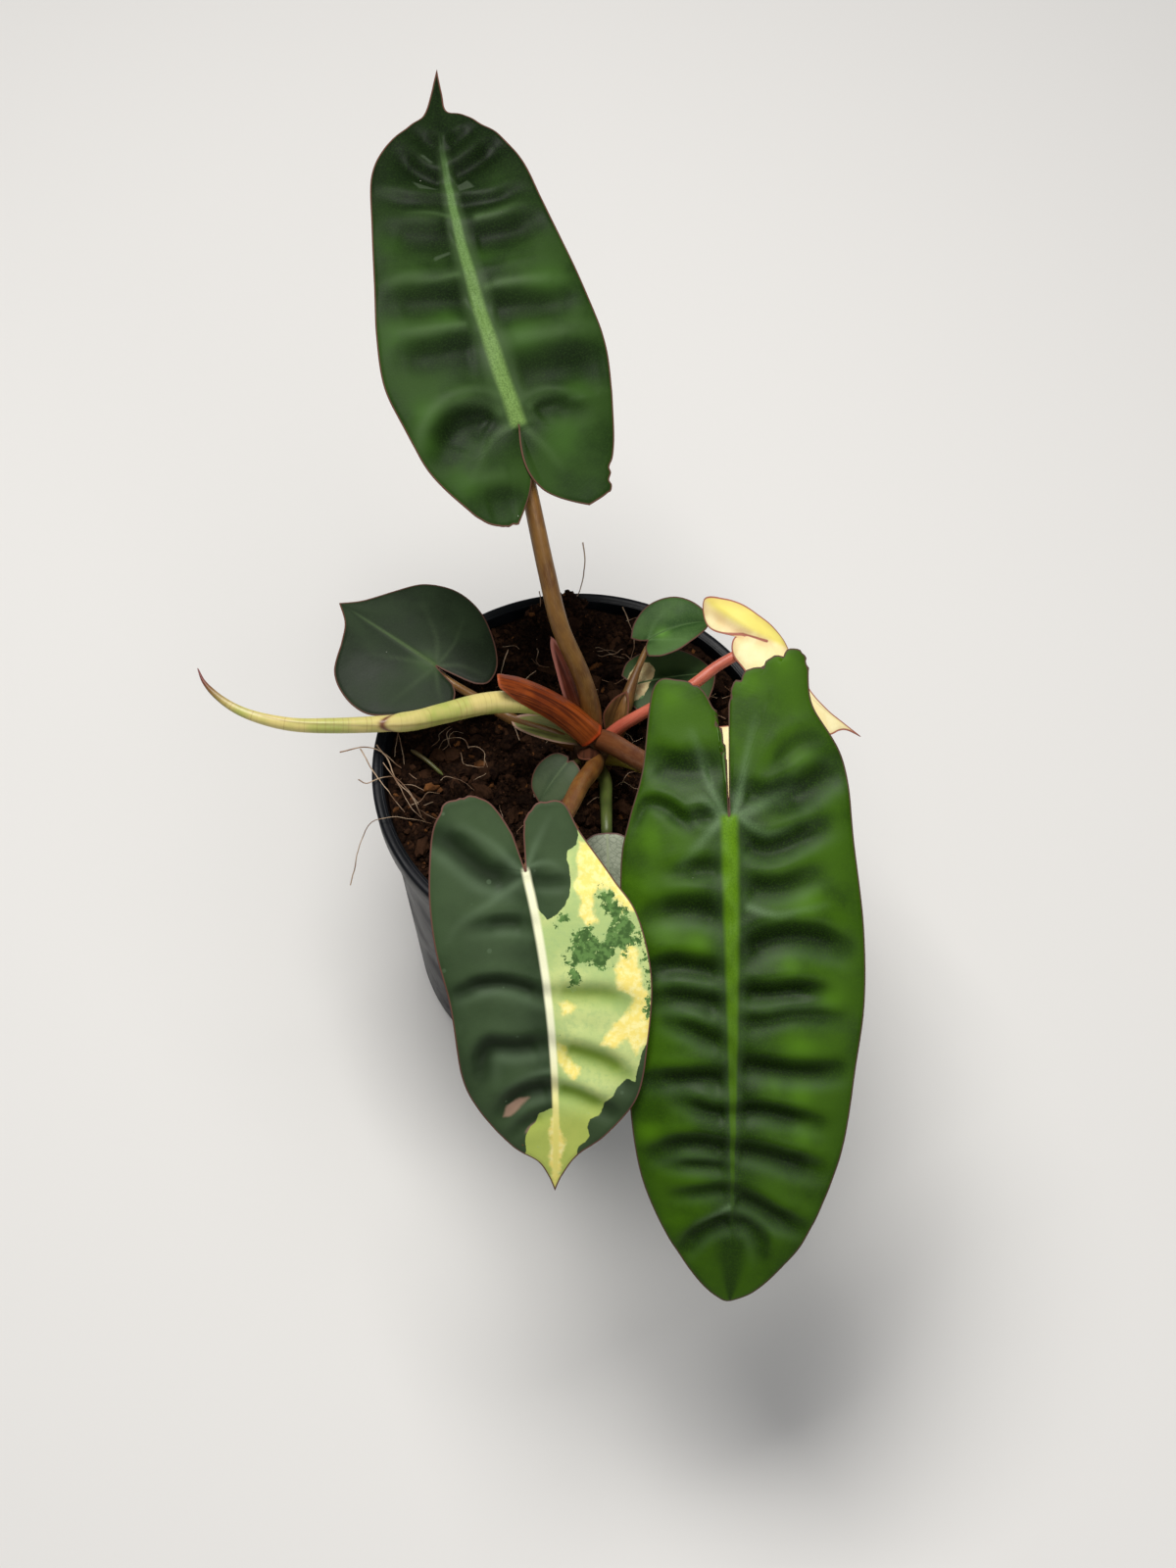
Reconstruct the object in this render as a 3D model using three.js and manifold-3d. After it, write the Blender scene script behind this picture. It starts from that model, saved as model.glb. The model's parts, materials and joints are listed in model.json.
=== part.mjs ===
// A potted philodendron with ribbed, strap-shaped leaves. Millimetres, +Z up.
// The origin is the middle of the pot's underside. The plant leans over the front, -Y.
import * as THREE from "three";
import { mergeVertices } from "three/addons/utils/BufferGeometryUtils.js";
import Module from "manifold-3d";

const wasm = await Module();
wasm.setup();

// Driving dimensions
const GAP = 0.3; // clearance between pieces that touch
const POT = {
  height: 118, rimRadius: 62.5, rimHeight: 9, lip: 3.6,
  shoulderRadius: 59.4, footRadius: 55.4, wall: 1.2, floor: 1.6,
  drainHoles: 6, drainRadius: 4.5, drainCircle: 38, sides: 40,
};
const SOIL = { level: 112, mound: 3, crumb: 1.1, rings: 10 };
const STEM = { x: 4, y: 2, bottom: 78, top: 133, radius: 7.2 };
const BLADE_THICK = 0.9;
const QUILT_SPAN = 12; // side veins closer than this lie less deep
const MARGIN_POINTS = 300;

const rad = THREE.MathUtils.degToRad;
const lerp = THREE.MathUtils.lerp;
const clamp = THREE.MathUtils.clamp;

// A repeatable draw between 0 and 1
function dice(seed) {
  let state = seed >>> 0;
  return () => {
    state = (Math.imul(state, 1664525) + 1013904223) >>> 0;
    return state / 4294967296;
  };
}

function geometryOf(points, triangles) {
  const geometry = new THREE.BufferGeometry();
  geometry.setAttribute("position", new THREE.Float32BufferAttribute(points.flat(), 3));
  geometry.setIndex(triangles.flat());
  return geometry;
}

function solidOf(geometry) {
  const bare = geometry.clone();
  bare.deleteAttribute("normal");
  bare.deleteAttribute("uv");
  const merged = mergeVertices(bare, 1e-4);
  return new wasm.Manifold(new wasm.Mesh({
    numProp: 3,
    vertProperties: new Float32Array(merged.attributes.position.array),
    triVerts: new Uint32Array(merged.index.array),
  }));
}

function geometryFrom(solid) {
  const mesh = solid.getMesh();
  const geometry = new THREE.BufferGeometry();
  geometry.setAttribute("position", new THREE.BufferAttribute(mesh.vertProperties, 3));
  geometry.setIndex(new THREE.BufferAttribute(mesh.triVerts, 1));
  return geometry;
}

// Cuts a piece clear of its neighbours and keeps its largest body
function fitted(solid, neighbours) {
  let cut = solid;
  for (const neighbour of neighbours) cut = cut.subtract(neighbour);
  const bodies = cut.decompose();
  bodies.sort((a, b) => b.volume() - a.volume());
  return bodies[0];
}

// Pot and soil

function potWallRadius(z) {
  return lerp(POT.footRadius, POT.shoulderRadius, z / (POT.height - POT.rimHeight)) - POT.wall;
}

function pot() {
  const { height, rimRadius, rimHeight, lip, shoulderRadius, footRadius, floor } = POT;
  const bead = 0.6;
  const innerTop = potWallRadius(height - 2);
  const profile = [
    [0, 0], [footRadius - 1, 0], [footRadius, 1],
    [shoulderRadius, height - rimHeight], [rimRadius - 1, height - rimHeight + 0.6],
    [rimRadius - bead, height - rimHeight + 1.4], [rimRadius, height - 1],
    [rimRadius - bead, height], [rimRadius - lip + bead, height],
    [rimRadius - lip, height - bead], [innerTop, height - 2],
    [potWallRadius(floor), floor], [0, floor],
  ].map(([r, z]) => new THREE.Vector2(r, z));
  const shell = new THREE.LatheGeometry(profile, POT.sides).rotateX(Math.PI / 2);
  const holes = [];
  for (let i = 0; i < POT.drainHoles; i++) {
    const turn = (2 * Math.PI * i) / POT.drainHoles;
    const hole = new THREE.CylinderGeometry(POT.drainRadius, POT.drainRadius, 3 * floor, 12);
    hole.rotateX(Math.PI / 2);
    hole.translate(POT.drainCircle * Math.cos(turn), POT.drainCircle * Math.sin(turn), floor / 2);
    holes.push(solidOf(hole));
  }
  return fitted(solidOf(shell), holes);
}

// The soil's surface: a low mound at the crown, a clod at the back and coarse crumbs
function soilHeight(x, y) {
  const mound = SOIL.mound * Math.exp(-((x - STEM.x) ** 2 + (y - STEM.y) ** 2) / 500);
  const clod = 11 * Math.exp(-((x + 10) ** 2 + (y - 48) ** 2) / 50);
  return SOIL.level + mound + clod;
}

function soil(hole) {
  const draw = dice(7);
  const { rings } = SOIL;
  const segments = POT.sides;
  const edgeTop = SOIL.level - 1;
  const bottom = POT.floor + GAP;
  const points = [[0, 0, soilHeight(0, 0)]];
  const triangles = [];
  const ringStart = (ring) => 1 + (ring - 1) * segments;
  for (let ring = 1; ring <= rings + 1; ring++) {
    const onEdge = ring >= rings;
    const z = ring > rings ? bottom : edgeTop;
    const radius = onEdge ? potWallRadius(z) - GAP : (potWallRadius(edgeTop) * ring) / rings;
    for (let i = 0; i < segments; i++) {
      const turn = (2 * Math.PI * (i + (onEdge ? 0 : draw() * 0.5))) / segments;
      const [x, y] = [radius * Math.cos(turn), radius * Math.sin(turn)];
      points.push([x, y, onEdge ? z : soilHeight(x, y) + SOIL.crumb * (draw() - 0.5) * 2]);
    }
  }
  points.push([0, 0, bottom]);
  for (let i = 0; i < segments; i++) {
    const next = (i + 1) % segments;
    triangles.push([0, ringStart(1) + i, ringStart(1) + next]);
    for (let ring = 1; ring <= rings; ring++) {
      const [a, b] = [ringStart(ring), ringStart(ring + 1)];
      triangles.push([a + i, b + i, b + next], [a + i, b + next, a + next]);
    }
    triangles.push([points.length - 1, ringStart(rings + 1) + next, ringStart(rings + 1) + i]);
  }
  return fitted(solidOf(geometryOf(points, triangles)), [hole]);
}

// The stem's foot stands in the soil and its top carries the petioles
function stem(grow = 0) {
  const { bottom, top, radius } = STEM;
  const profile = [
    [0, bottom - grow], [radius * 0.6 + grow, bottom - grow], [radius + grow, bottom + 12],
    [radius + grow, top - 14], [radius * 0.9 + grow, top - 5], [radius * 0.5 + grow, top + grow],
    [0, top + grow],
  ].map(([r, z]) => new THREE.Vector2(r, z));
  const shape = new THREE.LatheGeometry(profile, 14).rotateX(Math.PI / 2);
  return solidOf(shape.translate(STEM.x, STEM.y, 0));
}

// Stalks: a tube with an oval section, [half width, half thickness] at even steps of its path

function sizeAt(sizes, t) {
  const place = t * (sizes.length - 1);
  const i = Math.min(Math.floor(place), sizes.length - 2);
  return [0, 1].map((k) => lerp(sizes[i][k], sizes[i + 1][k], place - i));
}

function stalk(path, sizes, { sides = 8, step = 6, grow = 0, wrap = 0 } = {}) {
  const knots = path.map((p) => new THREE.Vector3(...p));
  const curve = new THREE.CatmullRomCurve3(knots, false, "centripetal");
  const steps = Math.max(4, Math.round(curve.getLength() / step));
  const up = new THREE.Vector3(0, 0, 1);
  const points = [];
  const triangles = [];
  for (let i = 0; i <= steps; i++) {
    const t = i / steps;
    const centre = curve.getPointAt(t);
    const along = curve.getTangentAt(t);
    if (grow && (i === 0 || i === steps)) centre.addScaledVector(along, i ? grow : -grow);
    const across = along.clone().cross(up).normalize();
    const over = across.clone().cross(along);
    const [wide, thick] = sizeAt(sizes, t).map((size) => size + grow);
    for (let j = 0; j < sides; j++) {
      const turn = (2 * Math.PI * j) / sides;
      const swell = 1 + wrap * (j / sides);
      const point = centre.clone();
      point.addScaledVector(across, wide * swell * Math.cos(turn));
      point.addScaledVector(over, thick * swell * Math.sin(turn));
      points.push(point.toArray());
    }
  }
  points.push(curve.getPointAt(0).toArray(), curve.getPointAt(1).toArray());
  const last = steps * sides;
  for (let j = 0; j < sides; j++) {
    const next = (j + 1) % sides;
    for (let i = 0; i < last; i += sides) {
      triangles.push([i + j, i + sides + j, i + sides + next], [i + j, i + sides + next, i + next]);
    }
    triangles.push([points.length - 2, j, next], [points.length - 1, last + next, last + j]);
  }
  return solidOf(geometryOf(points, triangles));
}

// Blades. A blade is laid out flat, x across and y from its joint towards its tip, and bent in space:
// the midrib curves down by its pitch and sideways by its bend, and each half rises from the midrib
// by its fold and falls towards its margin by its droop, all in degrees.

const SPINE_STEPS = 16;

function directionsAt(blade, y) {
  const u = y / blade.length;
  const [start, end] = blade.pitch;
  const pitch = rad(u >= 0 ? lerp(start, end, u) : start - (blade.back ?? 0) * u);
  const heading = rad(blade.heading + (blade.bend ?? 0) * u);
  const along = new THREE.Vector3(
    Math.cos(pitch) * Math.cos(heading), Math.cos(pitch) * Math.sin(heading), Math.sin(pitch));
  const across = new THREE.Vector3(Math.sin(heading), -Math.cos(heading), 0);
  const over = across.clone().cross(along);
  return { along, across, over };
}

function midribPoint(blade, y) {
  const point = new THREE.Vector3(...blade.joint);
  for (let i = 0; i < SPINE_STEPS; i++) {
    point.addScaledVector(directionsAt(blade, (y * (i + 0.5)) / SPINE_STEPS).along, y / SPINE_STEPS);
  }
  return point;
}

function bladePoint(blade, x, y, height = 0) {
  const { across, over } = directionsAt(blade, y);
  const { fold, droop } = x >= 0 ? blade.right : blade.left;
  const curl = rad(fold + droop) / blade.halfWidth || 1e-6;
  const turned = rad(fold) - curl * Math.abs(x);
  const reach = (Math.sin(rad(fold)) - Math.sin(turned)) / curl;
  const rise = (Math.cos(turned) - Math.cos(rad(fold))) / curl;
  return midribPoint(blade, y)
    .addScaledVector(across, Math.sign(x) * reach)
    .addScaledVector(over, height + rise);
}

function smooth(from, to, value) {
  const t = clamp((value - from) / (to - from), 0, 1);
  return t * t * (3 - 2 * t);
}

// The blade is quilted: it sinks to a narrow trough along each side vein and bulges up between two.
// A half lists its troughs by their places along the midrib; places below 0 fan out into the lobe.
function quiltHeight(blade, half, place, out) {
  const { troughs } = half;
  if (!troughs || place <= troughs[0] || place >= troughs.at(-1)) return 0;
  const i = troughs.findIndex((trough) => trough > place) - 1;
  const span = troughs[i + 1] - troughs[i];
  const bulge = Math.sqrt(Math.sin((Math.PI * (place - troughs[i])) / span) ** 2 + 0.02);
  const reach = smooth(0, 0.18, out) * (1 - 0.9 * smooth(0.62, 0.95, out));
  return blade.depth * Math.min(1, span / QUILT_SPAN) * reach * (bulge - 0.6);
}

// Rows of one half, each from the midrib to the margin. side is 1 on the right and -1 on the left.
function halfRows(blade, side) {
  const half = side > 0 ? blade.right : blade.left;
  const { length, rows, fan, columns, lobe = 0, sweep = [-0.3, 0.45], arc = 0.04 } = blade;
  const corners = half.outline.map((p) => new THREE.Vector2(...p));
  const margin = new THREE.SplineCurve(corners).getSpacedPoints(MARGIN_POINTS);
  const firstAtOrPast = (foot, from) => {
    const slope = lerp(...sweep, foot / length);
    let i = from;
    while (i < margin.length - 1 && margin[i].y - slope * Math.max(0, margin[i].x) < foot) i++;
    return i;
  };
  const lobeEnd = firstAtOrPast(0, 0);
  const result = [];
  let at = lobeEnd;
  for (let row = 0; row < fan + rows; row++) {
    const body = row - fan;
    const foot = body > 0 ? (length * body) / rows : 0;
    if (body < 0) at = Math.round((lobeEnd * row) / fan);
    else if (body > 0) at = Math.max(at + 1, firstAtOrPast(foot, at));
    else at = lobeEnd;
    const edge = margin[at];
    const place = body < 0 ? (lobe * body) / fan : foot;
    const bow = body < 0 ? (half.bow ?? 0) * (1 - row / fan) ** 1.5 : 0;
    const reach = Math.hypot(edge.x, edge.y - foot);
    const points = [];
    for (let column = 0; column <= columns; column++) {
      const out = column === 0 ? 0 : lerp(0.1, 1, (column - 1) / (columns - 1));
      const arch = Math.sin(Math.PI * out);
      const x = edge.x * out + (bow * (edge.y - foot)) * arch;
      const y = lerp(foot, edge.y, out) - (bow * edge.x) * arch - (body >= 0 ? arc * reach * arch : 0);
      points.push(bladePoint(blade, side * x, y, quiltHeight(blade, half, place, out)));
    }
    result.push(points);
  }
  return result;
}

function blade(spec, grow = 0) {
  const { rows, fan, columns } = spec;
  const middle = [];
  const triangles = [];
  const add = (point) => middle.push(point) - 1;
  const jointIndex = add(new THREE.Vector3(...spec.joint));
  const ribIndex = [];
  for (let body = 0; body < rows; body++) {
    ribIndex.push(body ? add(midribPoint(spec, (spec.length * body) / rows)) : jointIndex);
  }
  const tipIndex = add(midribPoint(spec, spec.length));
  for (const side of [1, -1]) {
    const indices = halfRows(spec, side).map((points, row) => {
      const foot = row <= fan ? jointIndex : ribIndex[row - fan];
      return [foot, ...points.slice(1).map(add)];
    });
    indices.push(Array(columns + 1).fill(tipIndex));
    for (let row = 0; row + 1 < indices.length; row++) {
      for (let column = 0; column < columns; column++) {
        const [a, b] = [indices[row][column], indices[row][column + 1]];
        const [c, d] = [indices[row + 1][column + 1], indices[row + 1][column]];
        for (const [p, q, r] of [[a, b, c], [a, c, d]]) {
          if (p === q || q === r || r === p) continue;
          triangles.push(side > 0 ? [p, q, r] : [p, r, q]);
        }
      }
    }
  }
  const keelOf = (index) => {
    const body = index === jointIndex ? 0 : ribIndex.indexOf(index);
    return body < 0 ? 0 : (spec.keel ?? 0) * (1 - (0.8 * body) / rows);
  };
  return thickened(middle, triangles, (spec.thick ?? BLADE_THICK) / 2 + grow, keelOf);
}

// Gives a sheet its thickness: the same triangles above and below, joined along the boundary
function thickened(middle, triangles, half, keelOf) {
  const normals = middle.map(() => new THREE.Vector3());
  const edges = new Map();
  for (const [a, b, c] of triangles) {
    const normal = middle[b].clone().sub(middle[a]).cross(middle[c].clone().sub(middle[a]));
    for (const index of [a, b, c]) normals[index].add(normal);
    for (const [p, q] of [[a, b], [b, c], [c, a]]) {
      if (!edges.delete(`${q} ${p}`)) edges.set(`${p} ${q}`, [p, q]);
    }
  }
  const points = [];
  for (const face of [1, -1]) {
    middle.forEach((point, index) => {
      const reach = face > 0 ? half : -half - keelOf(index);
      points.push(point.clone().addScaledVector(normals[index].normalize(), reach).toArray());
    });
  }
  const under = middle.length;
  const all = triangles.flatMap(([a, b, c]) => [[a, b, c], [a + under, c + under, b + under]]);
  for (const [p, q] of edges.values()) all.push([q, p, p + under], [q, p + under, q + under]);
  return solidOf(geometryOf(points, all));
}

// The blades' own shapes. Outlines run from the back of the lobe, round it, to the tip.

const large = { columns: 5, keel: 1.8, back: -10 };
const small = { columns: 3, keel: 0.8, rows: 8, fan: 4, back: 0, thick: 0.8 };

// Halves of the leaves and sheaths that are alike on both sides
const matched = {
  I: { fold: 8, droop: 8, bow: 0.1, outline: [[2.5, -2], [5.5, 2], [6.6, 7], [4.5, 12], [0, 15]] },
  J: {
    fold: 6, droop: 10, bow: 0.1,
    outline: [[3, -3.5], [7, 1], [9, 8], [7.5, 16], [3.5, 22.5], [0, 26]],
  },
  K: { fold: 8, droop: 12, bow: 0.1, outline: [[4, -6], [9, -1], [12, 9], [11, 20], [6, 30], [0, 36]] },
  cataphyll: {
    fold: -6, droop: 80,
    outline: [[6.4, 0], [6.5, 6], [6.2, 14], [5.6, 23], [4.6, 29.5], [3, 34.8], [1.8, 37.3], [0, 38]],
  },
  redSheath: { fold: -10, droop: 50, outline: [[3.4, 0], [3.4, 8], [2.4, 17], [1.4, 23], [0, 26]] },
};

const blades = {
  A: {
    ...large, joint: [-16.6, 60.5, 205], heading: 111.6, bend: -20, pitch: [23, -17],
    length: 138, halfWidth: 33, rows: 30, fan: 8, lobe: 30, depth: 3,
    left: {
      fold: 12, droop: 14, bow: 0.14, troughs: [-30, -15, 4, 24, 40, 61, 73, 83, 96, 112],
      outline: [[11, -27], [17.4, -25.5], [23.5, -17], [29, -5], [31.5, 9], [32.9, 21], [30.8, 35],
        [27.5, 50], [24.5, 68], [22, 86], [17, 97], [9.2, 106], [4.6, 111], [2, 122], [0, 138]],
    },
    right: {
      fold: 12, droop: 14, bow: 0.24, troughs: [-30, -12, 2, 15, 35, 59, 72, 84, 96, 112],
      outline: [[10, -29.3], [17.3, -27.3], [20.5, -21], [25, -11.5], [30.5, 7], [32, 19], [31, 35],
        [28.7, 53], [26, 69], [23, 85], [17.8, 97.5], [8, 109], [2.7, 113], [1.6, 123], [0, 138]],
    },
  },
  B: {
    ...large, joint: [41.2, -47.2, 172], heading: -89.3, pitch: [-16, -56],
    length: 138.5, halfWidth: 36, rows: 35, fan: 9, lobe: 30, depth: 3.6,
    left: {
      fold: 8, droop: 14, troughs: [-30, -16, 1, 8, 20, 37, 48, 56, 68, 81, 92, 106, 115, 126],
      outline: [[0.6, -31], [1.7, -36.5], [5, -39.8], [12.1, -44], [17.8, -46.8], [22.4, -44.2],
        [23.6, -31], [32, -15], [34, 8], [36, 29], [36, 50], [33.5, 68], [29.5, 93], [21, 116],
        [14, 126.5], [6.5, 134.8], [0, 138.5]],
    },
    right: {
      fold: 4, droop: 30,
      troughs: [-30, -14, 1, 15, 28, 42, 51, 61, 72, 82, 91, 103, 113, 125],
      outline: [[2, -20.5], [3.1, -26.2], [7.5, -35.3], [13, -38.6], [20, -36.7], [23.5, -14],
        [27.5, -0.7], [30, 10], [30.5, 28], [30, 44], [29, 66], [27.8, 84], [25.5, 98], [21.5, 109.5],
        [15.4, 121.5], [8, 132.5], [2.6, 137.8], [0, 138.5]],
    },
  },
  C: {
    ...large, joint: [-13.6, -65.6, 176], heading: -74.5, bend: -20, pitch: [-26.7, -60.7],
    length: 94, halfWidth: 31, rows: 24, fan: 7, lobe: 24, depth: 2.6,
    left: {
      fold: 6, droop: 10, troughs: [-24, -6, 14, 34, 51, 63, 72, 81],
      outline: [[1.9, -9.4], [3.2, -12.8], [5.6, -15.5], [8.6, -16.5], [14.5, -14.6], [16.9, -6],
        [22.5, 7], [27, 17], [28.3, 33], [25.5, 50], [22, 64], [13.5, 74.5], [6, 81], [2, 88], [0, 94]],
    },
    right: {
      fold: 6, droop: 10, troughs: [-24, -4, 14, 33, 48, 61, 71, 80],
      outline: [[0.8, -10.4], [2.9, -17.3], [5.6, -21.6], [11.7, -24.4], [17, -23], [21.9, -15.3],
        [26.3, 0], [27.7, 16], [26.2, 33], [25, 55], [20.5, 67], [12, 78.4], [5, 83.5], [1.8, 89],
        [0, 94]],
    },
  },
  D: {
    ...small, joint: [-42.7, 23.5, 136], heading: 145.9, bend: -8, pitch: [7, -13],
    length: 39.3, halfWidth: 22, rows: 12, fan: 6, lobe: 16, columns: 4, depth: 1,
    left: {
      fold: 4, droop: 8, troughs: [-16, -5, 6, 18, 30],
      outline: [[2, -7.5], [4.4, -10], [8, -10.8], [13, -8], [20.4, 0], [25, 7], [24.5, 15],
        [19.9, 22.6], [10.7, 27.7], [4.5, 32.2], [0, 39.3]],
    },
    right: {
      fold: 4, droop: 8, troughs: [-16, -5, 6, 18, 30],
      outline: [[1.2, -9.5], [2.2, -13.5], [4.9, -16.2], [11, -15.2], [18, -9], [24, 0.5], [25.6, 12],
        [21.3, 22.2], [13, 28.2], [5, 33.6], [0, 39.3]],
    },
  },
  F: {
    ...small, joint: [21.1, 32.6, 136], heading: 35, bend: -31, pitch: [5, -5],
    length: 20.4, halfWidth: 12,
    left: {
      fold: 25, droop: 5, bow: 0.1,
      outline: [[3.6, -3.7], [7, 0], [10, 6], [9.6, 12.5], [5, 18], [0, 20.4]],
    },
    right: {
      fold: 25, droop: 5, bow: 0.1,
      outline: [[5.5, -4], [8.3, 0], [9, 7], [6.7, 14.2], [3.5, 18.6], [0, 20.4]],
    },
  },
  G: {
    ...small, joint: [18, 24, 125], heading: 12, pitch: [6, -16],
    length: 25, halfWidth: 12,
    left: {
      fold: 8, droop: 12, bow: 0.1,
      outline: [[4, -4], [8.5, -1], [11, 6], [10.5, 13], [6, 20.5], [0, 25]],
    },
    right: {
      fold: 8, droop: 12, bow: 0.1,
      outline: [[4, -4], [9, -2], [13, 3], [15, 10], [12.5, 17.5], [6, 22.5], [0, 25]],
    },
  },
  H: {
    ...small, joint: [56, 24, 149], heading: -66, bend: 56, pitch: [-9, -39],
    length: 41.6, halfWidth: 12, rows: 12, fan: 12, columns: 4,
    left: {
      fold: 0, droop: 80,
      outline: [[-6, -5.4], [-11.4, -9.4], [-15, -13], [-15, -16.8], [-8.7, -15.2], [-3.1, -12.3],
        [1.3, -7.9], [4, -4], [5.7, 0.7], [5.2, 6], [3.4, 15], [1.8, 21], [1, 28], [0.7, 35], [0, 41.6]],
    },
    right: {
      fold: 10, droop: 30,
      outline: [[4.5, -4], [8, -4.6], [10.4, -2.6], [11.1, 0.1], [10.4, 4], [10, 11], [9, 19],
        [7.8, 27], [5.8, 31.5], [2.6, 33.8], [0.8, 36.5], [0, 41.6]],
    },
  },
  I: {
    ...small, joint: [-3, -4.5, 127], heading: -130, pitch: [-10, -40],
    length: 15, halfWidth: 6,
    left: matched.I,
    right: matched.I,
  },
  J: {
    ...small, joint: [8.5, -32, 134], heading: -88, pitch: [-12, -42],
    length: 26, halfWidth: 9,
    left: matched.J,
    right: matched.J,
  },
  K: {
    ...small, joint: [31, -12, 134], heading: 16, pitch: [6, -16],
    length: 36, halfWidth: 13, rows: 9, columns: 4,
    left: matched.K,
    right: matched.K,
  },
};

// The petioles, from the stem's middle to the blade's joint, with [half width, half thickness] on the way

const petioles = {
  B: {
    path: [[3, 3, 128], [8, 0, 132], [16, -11, 142], [28, -26, 154]], seat: 0.5,
    sizes: [[3.2, 3.2], [3.1, 3.1], [2.7, 2.7], [2.3, 2.3]],
  },
  A: {
    path: [[4, 2, 120], [4, 8, 136], [1, 13, 148], [-5, 20, 163], [-9, 30, 178], [-13, 43, 193]],
    sizes: [[3.2, 3.2], [2.7, 2.7], [2.6, 2.6], [2.4, 2.4], [2.3, 2.3]],
  },
  C: {
    path: [[4, 2, 122], [5, -7, 130], [1, -22, 145], [-3, -38, 158], [-9, -54, 168]], seat: 0.6,
    sizes: [[2.8, 2.8], [2.6, 2.6], [2.5, 2.5], [2.2, 2.2]],
  },
  D: {
    path: [[4, 2, 122], [-8, 4, 129], [-20, 7, 133], [-30, 14, 133], [-38, 20, 132]],
    sizes: [[3.2, 2], [3.2, 2], [2.1, 1.5], [1.4, 1.3], [1.3, 1.2]],
  },
  F: {
    path: [[7, 4, 116], [12, 9, 122], [14, 14, 127], [16, 20, 130], [19, 27, 133]],
    sizes: [[1.6, 1.6], [3, 2.4], [2.6, 2.2], [1.1, 1.1], [0.9, 0.9]],
  },
  G: { path: [[6, 5, 118], [13, 14, 121], [16, 19, 123]], sizes: [[1.3, 1.3], [1, 1]] },
  H: {
    path: [[5, 3, 122], [12, 6, 129], [19, 8, 134], [33, 13, 141], [42, 19, 144], [51, 23, 146]],
    sizes: [[2.2, 2.2], [1.8, 1.8], [1.7, 1.7], [1.5, 1.5]],
  },
  I: { path: [[3, 0, 120], [0, -2.5, 123.5]], sizes: [[1.2, 1.2], [0.9, 0.9]] },
  J: {
    path: [[5, 1, 117], [8, -8, 123], [8.3, -18, 128], [8.4, -26, 131]],
    sizes: [[2.2, 2.2], [1.9, 1.9], [1.6, 1.6]],
  },
  K: {
    path: [[5, 2, 117], [13, -3, 125], [20, -8, 129], [26, -10.5, 131]],
    sizes: [[1.9, 1.9], [1.6, 1.6], [1.4, 1.4]],
  },
};

// The stalk ends just under its blade, with the keel and the gap between them. A steep stalk rises
// by its seat, a share of its width, so that its end still meets the keel.
function petiolePath(name) {
  const spec = blades[name];
  const { sizes, seat = 1 } = petioles[name];
  const under = (spec.thick ?? BLADE_THICK) / 2 + (spec.keel ?? 0) + GAP + sizes.at(-1)[0] * seat;
  return [...petioles[name].path, bladePoint(spec, 0.001, spec.length * 0.02, -under).toArray()];
}

// The rolled new leaf: a slim cone with its margin wrapped round it
const spear = {
  path: [[3, 3, 130], [-3, 4, 138], [-11, 4, 143], [-20, 1, 147.5], [-28, -1, 150], [-39, -6, 153],
    [-48, -9, 156], [-69, -12, 161], [-82, -12, 162], [-94, -9, 163], [-101, -5, 164], [-106, 0, 165],
    [-108, 4, 166]],
  sizes: [2.6, 3.3, 3.3, 3.1, 2.8, 2.7, 2.5, 2.1, 1.4, 0.5].map((size) => [size, size]),
  shape: { sides: 9, step: 4, wrap: 0.12 },
};

// Sheath leaves: short troughs that clasp what grows out of them
const sheaths = {
  cataphyll: {
    columns: 4, rows: 10, fan: 0, sweep: [0, 0], arc: 0, thick: 0.9,
    joint: [6.2, 0.5, 134.5], heading: 150, bend: 38, pitch: [44, 29.5], length: 38, halfWidth: 6,
    left: matched.cataphyll,
    right: matched.cataphyll,
  },
  red_sheath: {
    columns: 3, rows: 7, fan: 0, sweep: [0, 0], arc: 0, thick: 0.8,
    joint: [1, 8, 134], heading: 116, bend: 10, pitch: [48, 48], length: 26, halfWidth: 4,
    left: matched.redSheath,
    right: matched.redSheath,
  },
};

// Assembly

const looks = {
  pot: { color: 0x15181d, roughness: 0.45 },
  soil: { color: 0x3a251a, roughness: 0.95 },
  stem: { color: 0x5b3a22, roughness: 0.7 },
  petiole: { color: 0x8a5a35, roughness: 0.5 },
  petioleH: { color: 0xc05a44, roughness: 0.5 },
  petioleJ: { color: 0x5f7a34, roughness: 0.5 },
  petioleK: { color: 0xb8a436, roughness: 0.5 },
  A: { color: 0x2d4f27, roughness: 0.4 },
  B: { color: 0x2f6b17, roughness: 0.4 },
  C: { color: 0x6f8a63, roughness: 0.45 },
  D: { color: 0x2a4030, roughness: 0.45 },
  F: { color: 0x35592f, roughness: 0.4 },
  G: { color: 0x3a4f3a, roughness: 0.5 },
  H: { color: 0xe8dda2, roughness: 0.45 },
  I: { color: 0x62785c, roughness: 0.5 },
  J: { color: 0x8d9a88, roughness: 0.5 },
  K: { color: 0xe2d694, roughness: 0.45 },
  spear: { color: 0xc0bf80, roughness: 0.45 },
  cataphyll: { color: 0xa5481d, roughness: 0.5 },
  red_sheath: { color: 0x8c3f35, roughness: 0.5 },
};

const plant = new THREE.Group();

function place(name, solid, look) {
  const material = new THREE.MeshStandardMaterial({ ...look, metalness: 0, side: THREE.DoubleSide });
  const mesh = new THREE.Mesh(geometryFrom(solid), material);
  mesh.name = name;
  plant.add(mesh);
}

place("pot", pot(), looks.pot);
place("soil", soil(stem(GAP)), looks.soil);
place("stem", stem(), looks.stem);

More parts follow.
